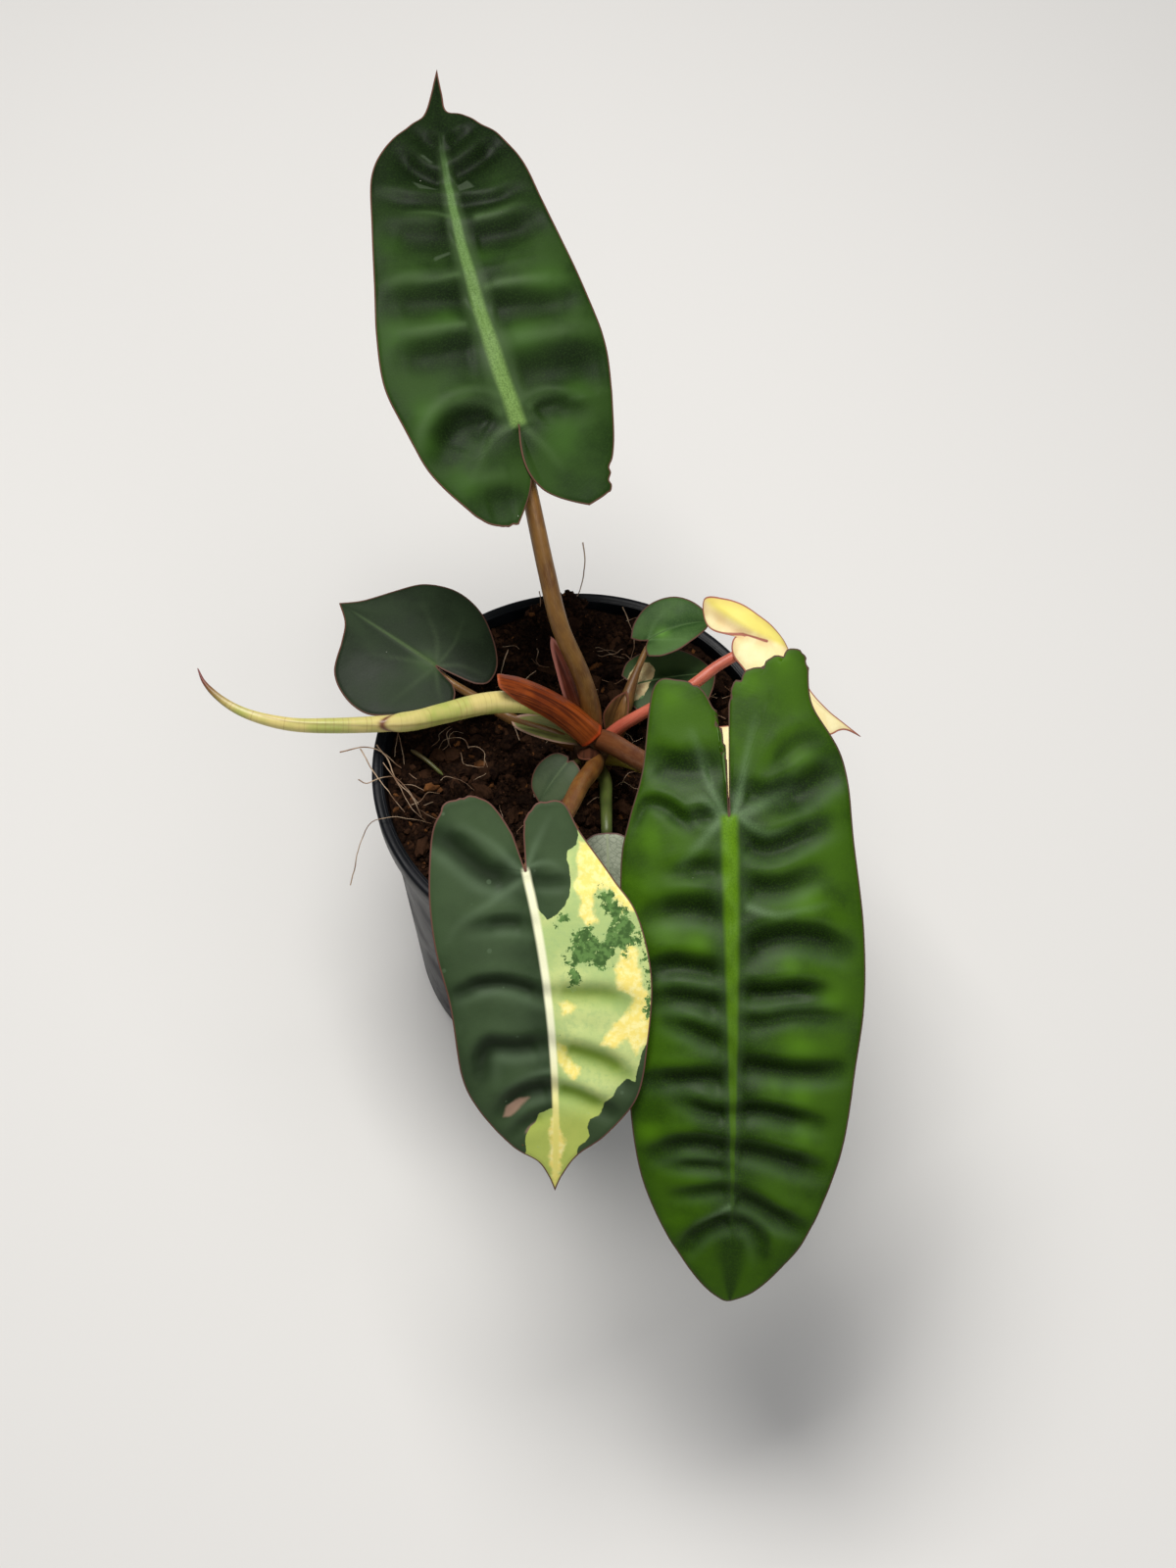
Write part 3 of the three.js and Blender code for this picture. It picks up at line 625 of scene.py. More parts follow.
def layBlade(name, leaf):
    # The closed sheet of a blade, still without its quilting
    right, left = halfGrid(leaf, 1), halfGrid(leaf, -1)
    rows, columns = right["x"].shape
    count = rows * columns
    values = {key: np.concatenate([right[key].ravel(), left[key].ravel()]) for key in right}
    x, y = values["x"], values["y"]
    # The right lobe may lie over the left one behind the joint
    lap = leaf["lap"] * smooth(2, -14, y) * smooth(9, -4, x) * (np.arange(2 * count) < count)
    points = bendBlade(leaf, x, y, lap)
    values["height"], values["shade"], values["sheen"] = [
        soften(part, (2, rows, columns)) for part in foldShape(leaf, x, y)]
    lift = directionsAt(leaf, y)[2]
    index = np.arange(count).reshape(rows, columns)
    quads = np.stack([index[:-1, :-1], index[:-1, 1:], index[1:, 1:], index[1:, :-1]], -1).reshape(-1, 4)
    faces = np.vstack([quads, quads[:, ::-1] + count])
    joined = np.unique(np.round(points, 4), axis=0, return_index=True, return_inverse=True)
    first, member = joined[1], joined[2].ravel()
    faces = member[faces]
    points, lift = points[first], lift[first]
    values = {key: value[first] for key, value in values.items()}
    diagonal = np.cross(points[faces[:, 2]] - points[faces[:, 0]], points[faces[:, 3]] - points[faces[:, 1]])
    normals = np.zeros_like(points)
    for corner in range(4):
        np.add.at(normals, faces[:, corner], diagonal)
    normals /= np.linalg.norm(normals, axis=1)[:, None] + 1e-12
    total = len(points)
    thin = leaf["thick"] / 2 * (0.35 + 0.65 * smooth(0, 1.4, values["edge"]))
    shell = np.vstack([points + normals * thin[:, None], points - normals * thin[:, None]])
    top = [list(dict.fromkeys(face)) for face in faces.tolist()]
    top = [face for face in top if len(face) > 2]
    pairs = {}
    for face in top:
        for p, q in zip(face, face[1:] + face[:1]):
            if (q, p) in pairs:
                del pairs[q, p]
            else:
                pairs[p, q] = True
    under = [[i + total for i in reversed(face)] for face in top]
    rim = [[q, p, p + total, q + total] for p, q in pairs]
    x, y = values["x"], values["y"]
    layers = {
        "plan": np.stack([x, y, values["out"]], 1),
        "mark": np.stack([values["shade"], values["edge"], np.zeros(total)], 1),
        "fold": values["height"],
        "sheen": values["sheen"],
        "ray": rayStrength(leaf["rays"], x, y),
        "vivid": spotStrength(leaf["vivid"], x, y),
        "lift": lift,
    }
    for label, shapes in leaf["patches"].items():
        layers[label] = np.max([insideness(shape, x, y) for shape in shapes], axis=0)
    layers = {label: np.concatenate([value, value]) for label, value in layers.items()}
    layers["mark"][total:, 2] = 1
    return meshFrom(name, shell, top + under + rim, layers)


def makeLeafRelief():
    # Sinks a blade along its side veins, swells it between them, and raises its midrib
    tree, given, give = newNodes("leafRelief", {
        "Depth": ("Float", 0.0015), "Rib Height": ("Float", 0.0005), "Rib Width": ("Float", 2.4),
        "Keel": ("Float", 0.0015), "Ripple": ("Float", 0.0006), "Ripple Scale": ("Float", 45.0),
        "Length": ("Float", 138.0),
    })
    across, along, out = named(tree, "plan", "FLOAT_VECTOR").split()
    _, _, under = named(tree, "mark", "FLOAT_VECTOR").split()
    quilt = named(tree, "fold") * given["Depth"]
    aside = across / given["Rib Width"]
    taper = (along / given["Length"]).between(0.0, 1.0, 1.0, 0.12, "LINEAR") * along.between(-2.5, 0.5)
    ridge = (aside * aside * -1.0).calc("EXPONENT") * taper
    ridge = ridge * (given["Rib Height"] * (1.0 - under) - given["Keel"] * under)
    place = field(tree, "GeometryNodeInputPosition")
    sway = (place.noise(given["Ripple Scale"], detail=2.0) - 0.5) * given["Ripple"] * out.between(0.05, 0.5)
    offset = vectorCalc("SCALE", named(tree, "lift", "FLOAT_VECTOR"), scale=quilt + ridge + sway)
    return closeTree(move(given["Geometry"], offset), given, give)


leafRelief = makeLeafRelief()


def growBlade(name, leaf, slotName, skin, *nodes):
    # A leaf or a sheath: its sheet laid out, given its relief and kept
    leaf = {**bladeBase, **leaf}
    values = {
        "Depth": leaf["depth"] * mm, "Rib Height": leaf["ribHeight"] * mm, "Rib Width": leaf["ribWidth"],
        "Keel": leaf["keel"] * mm, "Ripple": leaf["ripple"] * mm, "Ripple Scale": leaf["rippleScale"],
        "Length": leaf["length"], "Material": skin}
    return keep(settle(layBlade(name, leaf), leafRelief, values), slotName, *nodes)


def growLeaf(name, leaf, slotName, skin):
    return growBlade(f"leaf_{name}", leaf, slotName, skin, f"blade_{name}")


# Leaf A: tall, dark green, held up and back

leafA = dict(
    joint=(-16.6, 60.5, 205), heading=111.6, bend=-20, pitch=(23, -17), back=-10, length=138, halfWidth=33,
    rows=190, fan=70, columns=54, depth=2.4, front=-1, keel=1.8, ribHeight=0.7, ribWidth=2.0,
    ripple=1.6, rippleScale=38.0, lap=1.0, rise=3.4, sheenAt=-2.8,
    left=dict(
        fold=12, droop=14, bow=0.14, nicks=dict(span=(0, 16), width=(1.0, 2.8), count=4, depth=0.6, seed=4),
        outline=[[11, -27], [17.4, -25.5], [23.5, -17], [29, -5], [31.5, 9], [32.9, 21], [30.8, 35],
                 [27.5, 50], [24.5, 68], [22, 86], [17, 97], [9.2, 106], [4.6, 111], [2, 122], [0, 138]]),
    right=dict(
        fold=12, droop=14, bow=0.24, nicks=dict(span=(1, 22), width=(1.0, 2.6), count=6, depth=0.8, seed=11),
        outline=[[10, -29.3], [17.3, -27.3], [20.5, -21], [25, -11.5], [30.5, 7], [32, 19], [31, 35],
                 [28.7, 53], [26, 69], [23, 85], [17.8, 97.5], [8, 109], [2.7, 113], [1.6, 123], [0, 138]]),
    folds=[
        ([(-1.5, 82.8), (-5.5, 85), (-9, 88.8), (-11.2, 93.8)], 1.2, 0.9),
        ([(-0.8, 96.8), (-3.2, 99.8), (-5.5, 102.5)], 1.3, 0.7),
        ([(1.2, 85.2), (5.5, 86.8), (10.2, 89.8), (14, 93.5)], 1.4, 1.0),
        ([(2.2, 96.8), (5.2, 100.2), (9, 102.8)], 1.1, 0.6),
        ([(-0.8, 74.2), (-6.5, 75), (-13.2, 75.8), (-18, 78)], 1.3, 0.5),
        ([(1.8, 73.5), (7.5, 72.2), (12.8, 72), (16.8, 73.5)], 1.1, 0.6),
        ([(-1.8, 64), (-6, 63.2), (-11.8, 64), (-17.2, 66)], 2.2, 0.8),
        ([(4.5, 60.8), (9.8, 60.8), (14.8, 61), (20.2, 62.2)], 2.0, 1.0),
        ([(-1.5, 42.5), (-7.5, 42.2), (-14, 43), (-19.8, 44), (-23, 44)], 2.0, 0.9),
        ([(4, 37), (9.8, 36.2), (16.2, 34.8), (22.8, 33.8)], 2.0, 0.9),
        ([(-5, 26), (-11, 27), (-18.2, 27.2), (-24, 28.5)], 2.1, 0.8),
        ([(5, 16.8), (12, 16), (20, 15), (28, 14)], 2.8, 0.8),
        ([(-5.8, 3.5), (-8.2, 5.8), (-12.5, 6.5), (-17, 6), (-22, 2.8), (-24.2, 0)], 2.0, 1.3),
        ([(5.8, 2.8), (8.8, 3.5), (12.2, 2.8), (16, 0.8)], 1.4, 0.8),
        ([(-9, -18.2), (-12.5, -17.5), (-17, -16.8)], 1.7, 0.5)],
    rays=[
        ([(0.4, 0.5), (3, -4.8), (5.5, -10.5), (6.8, -16.8)], 1.3),
        ([(-2, 0), (-8, -1.5), (-13.5, -6.2), (-18.2, -11)], 1.2),
        ([(-3.8, 4.8), (-7.2, 8), (-13, 10), (-20.2, 10.2), (-27.2, 10.8)], 1.3),
        ([(4.8, 4), (8.5, 5.5), (13.8, 4.5)], 1.0), ([(-1.8, 68.2), (-7.2, 70), (-13.8, 70.5)], 0.8),
        ([(-3.5, 47.5), (-9.8, 46.8), (-15.5, 47)], 0.8), ([(-6, 32), (-17.2, 33), (-24.2, 34.2)], 0.9),
        ([(6.2, 65.5), (12.2, 65.5), (18.8, 68)], 1.1), ([(3.5, 42), (11.2, 41.5), (21.2, 41)], 1.1)],
    vivid=[(-24.8, 9.8, 4), (-26.5, 32, 4.5), (-25.2, 1.2, 3.5), (-21.2, -11.8, 4), (19.5, 5.8, 4),
           (20.8, 39.2, 5), (14.5, 78.5, 4), (-19.8, 62, 4), (-17.5, 80.2, 3.5), (5.2, 52.2, 3.5), (9, 24, 5),
           (-10, 36, 4), (11, -8, 6)],
    # Patches where the skin shines, also lightened as a painted highlight
    patches=dict(wet=[
        [(-2, 78.5), (-9, 78.8), (-11.5, 84), (-4, 80.5)], [(2.5, 76), (8, 76.5), (6, 82), (2, 80)],
        [(-2.5, 88), (-4.5, 87.5), (-8, 92.5), (-5.5, 92.5)],
        [(-3, 55.5), (-9.5, 52.5), (-9.5, 55), (-4, 57)]]),
)
skinA = leafSkin("leafDark", dict(
    deep=(0.008, 0.022, 0.003), green=(0.015, 0.038, 0.005), bright=(0.03, 0.07, 0.011),
    vivid=(0.034, 0.09, 0.01), trough=(0.002, 0.005, 0.001), vein=(0.08, 0.14, 0.05), rib=(0.17, 0.28, 0.075),
    ribTip=(0.08, 0.15, 0.055), under=(0.09, 0.15, 0.06), ribWide=2.6, ribNarrow=1.0, ribEnd=104.0,
    crest=0.5, shade=0.75, rays=0.45, glow=0.35, tipShade=0.85, midribShade=0.25, sheen=0.3, specular=0.08))
growLeaf("A", leafA, "leaf_dark", skinA)
print("leaf A stands")

# Leaf B: the largest, vivid green, deeply ribbed, hanging over the front

leafB = dict(
    joint=(41.2, -47.2, 172), heading=-89.3, pitch=(-16, -56), back=-10, length=138.5, halfWidth=36,
    rows=210, fan=70, columns=46, depth=2.3, keel=1.8, ribHeight=0.9, ribWidth=2.2,
    ripple=1.4, rippleScale=42.0,
    left=dict(
        fold=8, droop=14, nicks=dict(span=(2, 33), width=(0.7, 1.8), count=13, depth=1.1, seed=5),
        outline=[[0.6, -31], [1.7, -36.5], [5, -39.8], [12.1, -44], [17.8, -46.8], [22.4, -44.2],
                 [23.6, -31], [32, -15], [34, 8], [36, 29], [36, 50], [33.5, 68], [29.5, 93], [21, 116],
                 [14, 126.5], [6.5, 134.8], [0, 138.5]]),
    right=dict(
        fold=4, droop=30, nicks=dict(span=(2, 30), width=(0.6, 1.6), count=13, depth=1.0, seed=8),
        outline=[[0.2, -13], [0.3, -17], [0.9, -21.5], [2.3, -26.8], [6.5, -35.6], [13, -38.6], [20, -36.7],
                 [23.5, -14], [27.5, -0.7], [30, 10], [30.5, 28], [30, 44], [29, 66], [27.8, 84], [25.5, 98],
                 [21.5, 109.5], [15.4, 121.5], [8, 132.5], [2.6, 137.8], [0, 138.5]]),
    folds=[
        ([(-15, -6), (-19.8, -9), (-24, -12.5), (-28.5, -14.8)], 2.0, 1.1),
        ([(-5.2, -8.2), (-11.5, -7.2), (-14.8, -9)], 1.3, 0.6),
        ([(-13.2, -15), (-16.8, -19.2), (-21.8, -21.8), (-27, -21)], 1.6, 0.5),
        ([(-5.2, 6), (-9.2, 7.8), (-13.5, 7), (-17.5, 5.2), (-22.8, 2.8)], 1.5, 1.0),
        ([(-5, 18), (-10.8, 18.5), (-15.5, 17.8), (-19.8, 15.8)], 1.5, 0.9),
        ([(-4.5, 35.2), (-8.8, 32.8), (-15.2, 31.5), (-22, 32), (-28.8, 34.2)], 1.7, 1.2),
        ([(-3.8, 46.5), (-10.2, 46.8), (-16, 46.2), (-21.8, 46.5)], 1.3, 1.2),
        ([(-3.5, 54.8), (-8.5, 54.5), (-15, 53.2), (-21.8, 53), (-26.8, 53.5)], 1.1, 0.6),
        ([(-2.8, 66), (-8.5, 66.8), (-15, 67.8), (-21.8, 68.2), (-25.8, 68)], 1.5, 1.2),
        ([(-2.8, 78.8), (-8.5, 79), (-14.8, 80.5), (-20.8, 82)], 1.3, 1.0),
        ([(-2.5, 89.8), (-8.5, 91), (-14.8, 93), (-21, 95)], 1.5, 1.1),
        ([(-1.8, 103.8), (-7, 106), (-12.2, 109.5), (-17, 112)], 1.4, 1.0),
        ([(-1.8, 112.2), (-5.2, 113), (-8, 116), (-9, 120.2)], 1.2, 0.7),
        ([(5.8, -16.2), (10.8, -15.5), (15, -16), (17.5, -17.5)], 1.9, 0.9),
        ([(12, 0.5), (15.2, -3), (19.5, -5.2), (23.2, -4.8), (25.2, -1)], 0.9, 0.6),
        ([(4.5, -1.2), (10.2, -1)], 1.0, 0.6),
        ([(3.2, 13.2), (7.2, 12.8), (12.2, 13.5)], 1.3, 0.8),
        ([(3, 25.8), (7.5, 24), (13.2, 23.5), (19.2, 24.5)], 1.7, 1.1),
        ([(3.8, 40.8), (9.5, 39.5), (15.2, 38.8), (21, 40)], 1.5, 1.1),
        ([(3, 49.8), (7.8, 48.5), (13.5, 47.8), (18.5, 47.8)], 1.4, 1.0),
        ([(3, 60.2), (7.2, 58.5), (11.2, 56.5), (14.5, 55.2)], 1.2, 0.8),
        ([(2, 70.5), (7.2, 69.5), (13.5, 69.8), (19.8, 70.2)], 1.4, 1.1),
        ([(2, 80), (6.5, 79), (11, 77.2)], 1.1, 0.8),
        ([(2, 89.8), (8.2, 88.2), (14.5, 88.5), (19.8, 90.5)], 1.4, 1.0),
        ([(2.5, 95.5), (8.2, 94.8), (14.5, 94.8)], 0.9, 0.8),
        ([(2, 101.8), (7.2, 102.2), (12.5, 103)], 1.0, 0.6),
        ([(1, 111.2), (5.5, 112.8), (9.8, 115.5), (12.5, 118.8)], 1.3, 0.8)],
    rays=[
        ([(-1.5, -0.8), (-3, -6.8), (-5, -16), (-7.8, -28)], 1.2),
        ([(-2, -0.2), (-7, -2.2), (-13, -6), (-16.5, -8.2)], 1.7),
        ([(-3, 0), (-6.2, 2.8), (-10.2, 4.8), (-16, 3.8)], 1.1),
        ([(2, -1), (5.2, -9.5), (7.5, -18), (9.8, -24)], 1.3),
        ([(2.5, 1), (6.2, 5), (9, 8.2), (13, 12.2)], 1.4),
        ([(2.5, -1), (7, -5.2), (11, -4)], 1.4),
        ([(-4.8, 24.5), (-12.2, 26.8), (-18.8, 25.5), (-25.5, 24.2)], 1.0),
        ([(1, 107.8), (5.5, 109.8), (10, 112.2)], 0.9)],
    vivid=[(-19.2, -15.8, 4), (21.5, 5.2, 4), (15.5, -34.5, 4), (-15.8, -43.2, 3.5), (-6.2, -37.5, 4),
           (26, 17.2, 4), (-20.5, 23, 4.5), (-15.2, 40.2, 3.5), (-18.2, 60.8, 4), (-26, 48.5, 4),
           (18.5, 29.2, 4.5), (-18.2, 86, 4), (23.5, 86, 3.5), (-18.2, 75, 3.5), (15.2, 111.8, 3.5),
           (-23.8, 95.8, 4), (9, 34, 3.5), (-10, 73, 3)],
)
skinB = leafSkin("leafVivid", dict(
    deep=(0.012, 0.036, 0.001), green=(0.021, 0.06, 0.001), bright=(0.046, 0.118, 0.001),
    vivid=(0.062, 0.16, 0.002), margin=(0.08, 0.045, 0.03), trough=(0.002, 0.006, 0.001),
    vein=(0.12, 0.2, 0.09), rib=(0.105, 0.23, 0.006), ribTip=(0.022, 0.055, 0.004), under=(0.1, 0.18, 0.05),
    ribWide=2.6, ribNarrow=0.5, ribEnd=122.0, crest=0.6, shade=0.8, rays=0.7, glow=0.1, midribShade=0.35, sheen=0.25))
growLeaf("B", leafB, "leaf_vivid", skinB)
print("leaf B hangs")

# Leaf C: variegated, grey-green on one half and cream on the other

tongue = [(-16.4, -8.7), (-16, -5.7), (-14.7, -3.7), (-12.2, -2.6), (-11.2, -0.7), (-11.4, 1.4), (-11.2, 4.7),
          (-9.6, 8.9), (-7.4, 11.8), (-5.1, 13.2), (-2.9, 13.6), (-1.9, 11.8)]
leafC = dict(
    joint=(-13.6, -65.6, 176), heading=-74.5, bend=-20, pitch=(-26.7, -60.7), back=-10, length=94, halfWidth=31,
    rows=170, fan=56, columns=50, depth=1.6, keel=1.8, ribHeight=0.6, ribWidth=1.7,
    ripple=1.2, rippleScale=48.0,
    left=dict(
        fold=6, droop=10, nicks=dict(span=(3, 14), width=(0.9, 2.0), count=4, depth=0.6, seed=6),
        outline=[[1.9, -9.4], [3.2, -12.8], [5.6, -15.5], [8.6, -16.5], [14.5, -14.6], [16.9, -6],
                 [22.5, 7], [27, 17], [28.3, 33], [25.5, 50], [22, 64], [13.5, 74.5], [6, 81], [2, 88],
                 [0, 94]]),
    right=dict(
        fold=6, droop=10, nicks=dict(span=(12, 28), width=(0.9, 2.2), count=6, depth=0.8, seed=2),
        outline=[[0.8, -10.4], [2.9, -17.3], [5.6, -21.6], [11.7, -24.4], [17, -23], [21.9, -15.3],
                 [26.3, 0], [27.7, 16], [26.2, 33], [25, 55], [20.5, 67], [12, 78.4], [5, 83.5],
                 [1.8, 89], [0, 94]]),
    folds=[
        ([(5.2, -0.2), (9.5, -3.2), (13, -8.2), (16.5, -13.5), (18.5, -15.5)], 1.7, 1.0),
        ([(3.8, 12.8), (8, 11.5), (12.8, 11)], 1.1, 0.8),
        ([(2.8, 31.8), (7, 29.2), (12.2, 27.5), (17.5, 27.2), (20.8, 28)], 1.1, 1.1),
        ([(4.2, 46), (9.5, 46.2), (14.2, 45.5), (17.2, 45.5), (19.5, 49), (20, 52.5)], 1.4, 1.1),
        ([(2.5, 59), (7.2, 59.5), (11.2, 61.5), (13.8, 64.5)], 1.4, 1.0),
        ([(4.5, 67.8), (8.2, 69.5), (10.8, 71.8)], 1.0, 0.5),
        ([(-3.5, 32.5), (-9.5, 33.8), (-15.5, 34.8), (-20, 37)], 1.3, 0.8),
        ([(-4.2, 48.5), (-9.5, 50.5), (-14.8, 53), (-18.5, 56)], 1.4, 1.2),
        ([(-1.2, 60.2), (-6, 61.5), (-10.5, 63.8), (-13.5, 65.5)], 1.2, 1.0),
        ([(-1.5, 2.2), (-5.5, 3.5), (-10, 4.2)], 1.0, 0.5)],
    rays=[
        ([(1.5, -0.5), (6.5, -9), (10, -13.2), (13.2, -16), (17, -16.8)], 1.3),
        ([(1.2, 2), (7.5, 4.5), (13.5, 7), (20.2, 9.8), (23.8, 14)], 1.2),
        ([(-1, -1.5), (-4.8, -6.8), (-9.5, -11.8)], 1.0), ([(-1.8, -1.2), (-6.5, -0.8), (-9.8, 2.2)], 0.9),
        ([(1.5, 54.8), (6.2, 55.5), (11, 57.5), (14.2, 60)], 1.0)],
    patches=dict(
        pale=[[(0.2, 8), (0.3, 66), (1.6, 66.2), (3, 67.3), (4.8, 68.1), (5.4, 70.3), (7, 72.1), (8.1, 74.7),
               (8.4, 77.3), (8.2, 83), (5, 90), (0, 100), (-4, 88), (-6.1, 78.3), (-7.9, 77), (-9, 74.5),
               (-8.4, 72.1), (-9.2, 69.7), (-12.2, 68.3), (-13.5, 64.6), (-15.4, 63), (-16.8, 60.9),
               (-19.5, 58.6), (-21.6, 59.3), (-22.9, 54.1), (-23.8, 52.1), (-26.9, 46), (-34, 40), (-34, 10),
               (-24, -10)] + tongue],
        cream=[[(-15.6, -4.3), (-17.9, -2.7), (-28, -4), (-30, 12), (-26.4, 16.5), (-22.3, 15.2), (-20.8, 9.5),
                (-17.4, 8), (-15, 12.4), (-16.1, 16.6), (-13.3, 17.3), (-11.6, 14.4), (-12.6, 10.6), (-11, 6.7),
                (-13.3, 4.6), (-13.7, 0.9)],
               [(-18.9, 28.4), (-21.3, 25), (-23.5, 23.5), (-25, 27), (-25.6, 34), (-27, 40), (-27, 46),
                (-24.8, 49.5), (-22.5, 51.9), (-20.1, 47.7), (-16.8, 49.5), (-12.6, 48.3), (-16.4, 43.4),
                (-20.6, 41.3), (-22.6, 37.9), (-21.2, 35.8), (-18.1, 35.1)],
               [(-2.4, 36), (-5.3, 35.6), (-7, 37.8), (-5.7, 39.6), (-3.2, 39.6)],
               [(-1.2, 46.5), (-3.1, 48.4), (-4.4, 51.8), (-7, 54.7), (-5.5, 57.4), (-3, 56), (-1, 52.3)],
               [(1.1, 64), (-0.9, 69.3), (-1.5, 73.9), (-2.5, 78), (-1.4, 83.6), (0, 96), (1.5, 85.4),
                (1.6, 75.5)]],
        fleck=[[(-17.7, 8.8), (-20.8, 9.5), (-23.1, 14.1), (-26.3, 19.7), (-26.8, 24.7), (-25.1, 23.2),
                (-22.4, 26.4), (-19.5, 24.7), (-17.4, 28.1), (-14.6, 29), (-12.4, 27.4), (-10.5, 25.8),
                (-8.3, 28.6), (-6.2, 26.4), (-6.4, 22), (-10, 18), (-13.2, 17.8), (-16.7, 20.5), (-20, 17.3),
                (-17.3, 13)],
               [(-24.2, 15.5), (-25.8, 21), (-26.4, 28.5), (-26.2, 36), (-25.2, 43), (-26.6, 43), (-27.7, 36),
                (-27.9, 28), (-27.3, 20)],
               [(-4.8, 28.7), (-8.8, 28.8), (-9.6, 31.1), (-6.6, 31.9)],
               [(-5.5, 13.4), (-8, 13), (-8.3, 15.2), (-6, 15.8)]],
        blush=[[(6.8, 62.8), (9.7, 63), (13.2, 65.4), (14.3, 68.8), (12.2, 68.4), (9.3, 65.5)],
               [(5.1, 70), (7.3, 71.9), (8.4, 74), (6.5, 73.3), (4.9, 71.5)]],
    ),
)


variegatedLook = dict(crumb=(0.22, 0.06, 0.02), margin=(0.13, 0.06, 0.045))


def variegatedSkin(name, look):
    # Green where no patch lies; each patch has an edge that noise makes uneven
    look = {**variegatedLook, **look}
    material, tree, shader = bareMaterial(name, 0.46, 0.12)
    place, (across, along, _), masks = leafInputs(tree, look)
    trough = masks["Trough"]
    patches = place.noise(70.0, detail=4.0, roughness=0.55)
    fine = place.noise(600.0, detail=4.0, roughness=0.6)
    ragged = place.noise(260.0, detail=4.0, roughness=0.6)

    def patch(label, amount, soft=0.12):
        return (attributeOf(tree, label) + (ragged - 0.5) * amount).between(-soft, soft)

    green = patches.between(0.35, 0.65).mix(look["deep"], look["green"])
    # Painted light on the bulges between the folds
    green = (masks["Bulge"] * 0.45).mix(green, look["bright"])
    # Painted shade in the folds of the green half
    green = (trough * 0.8).mix(green, look["trough"])
    # Painted sheen beside each fold
    green = (attributeOf(tree, "sheen") * 0.4).mix(green, look["vein"])
    green = (attributeOf(tree, "ray") * 0.5).mix(green, look["vein"])
    green = (speckle(place, spacing=0.004, radius=0.0006, share=0.25) * 0.3).mix(green, look["vein"])
    if "blush" in look:
        green = (patch("blush", 1.2, soft=0.5) * 0.75).mix(green, look["blush"])
    pale = patches.between(0.4, 0.62).mix(look["pale"], look["paleWarm"])
    pale = (fine.between(0.45, 0.68) * 0.5).mix(pale, look["mint"])
    pale = (along.between(60.0, 72.0) * 0.7).mix(pale, look["tip"])
    cream = fine.between(0.35, 0.6).mix(look["cream"], look["creamWarm"])
    pale = patch("cream", 4.0, soft=0.7).mix(pale, cream)
    # Painted shade in the folds of the pale half, olive in colour
    pale = (trough * along.between(25.0, 32.0) * 0.9).mix(pale, look["paleFoldShade"])
    clumps = place.noise(420.0, detail=5.0, roughness=0.72)
    spread = clumps + attributeOf(tree, "fleck").between(-2.2, 1.6, -0.2, 0.13, "LINEAR")
    dark = spread.between(0.5, 0.53)
    pale = dark.mix(pale, fine.between(0.4, 0.6).mix(look["fleck"], look["fleckLight"]))
    pale = ((spread.between(0.42, 0.5) - dark) * 0.35).mix(pale, look["mint"])
    colour = patch("pale", 1.6).mix(green, pale)
    colour = masks["Rib"].mix(colour, along.between(45.0, 75.0).mix(look["rib"], look["ribTip"]))
    crumbs = speckle(place, spacing=0.016, radius=0.0004, share=0.4)
    colour = (crumbs * 0.7).mix(colour, look["crumb"])
    colour = (masks["Under"] * 0.5).mix(colour, look["under"])
    masks["Margin"].mix(colour, look["margin"]).to(shader["Base Color"])
    leafBump(shader, place, across, along)
    return material


skinC = variegatedSkin("leafVariegated", dict(
    deep=(0.022, 0.042, 0.015), green=(0.036, 0.065, 0.025), bright=(0.06, 0.098, 0.042),
    trough=(0.009, 0.016, 0.006), vein=(0.12, 0.18, 0.1), blush=(0.38, 0.24, 0.17),
    pale=(0.42, 0.55, 0.2), paleWarm=(0.55, 0.64, 0.24), mint=(0.36, 0.5, 0.2),
    tip=(0.45, 0.52, 0.07), cream=(0.97, 0.88, 0.36), creamWarm=(0.92, 0.76, 0.2),
    paleFoldShade=(0.14, 0.24, 0.01), fleck=(0.05, 0.115, 0.025), fleckLight=(0.12, 0.24, 0.06),
    rib=(0.88, 0.88, 0.6), ribTip=(0.84, 0.76, 0.2), under=(0.3, 0.36, 0.18),
    ribWide=1.25, ribNarrow=0.9, ribEnd=110.0))
growLeaf("C", leafC, "leaf_variegated", skinC)
print("leaf C hangs")

# Leaf D: low on the left, blue-green and heart-shaped

leafD = dict(
    joint=(-42.7, 23.5, 136), heading=145.9, bend=-8, pitch=(7, -13), length=39.3, halfWidth=22,
    rows=80, fan=50, columns=34, keel=0.8, thick=0.6, ribHeight=0.25,
    ribWidth=0.9, ripple=1.2, rippleScale=42.0,
    left=dict(
        fold=4, droop=8,
        outline=[[2, -7.5], [4.4, -10], [8, -10.8], [13, -8], [20.4, 0], [25, 7], [24.5, 15],
                 [19.9, 22.6], [10.7, 27.7], [4.5, 32.2], [0, 39.3]]),
    right=dict(
        fold=4, droop=8,
        outline=[[1.2, -9.5], [2.2, -13.5], [4.9, -16.2], [11, -15.2], [18, -9], [24, 0.5], [25.6, 12],
                 [21.3, 22.2], [13, 28.2], [5, 33.6], [0, 39.3]]),
    rays=[([(0, 0), (-5.1, 10.8), (-9.3, 18.6)], 0.7), ([(0, 0), (8, 6), (15.2, 17.9)], 0.7),
          ([(0, 0), (4.3, -6), (5.8, -14)], 0.8), ([(0, 0), (-9.9, 1.8), (-17.3, 3.5)], 0.7),
          ([(0, 0), (-5, -4), (-9, -8)], 0.7), ([(0, 0), (9, 0), (18, 3)], 0.6)],
    vivid=[(0, 2.5, 5)],
)
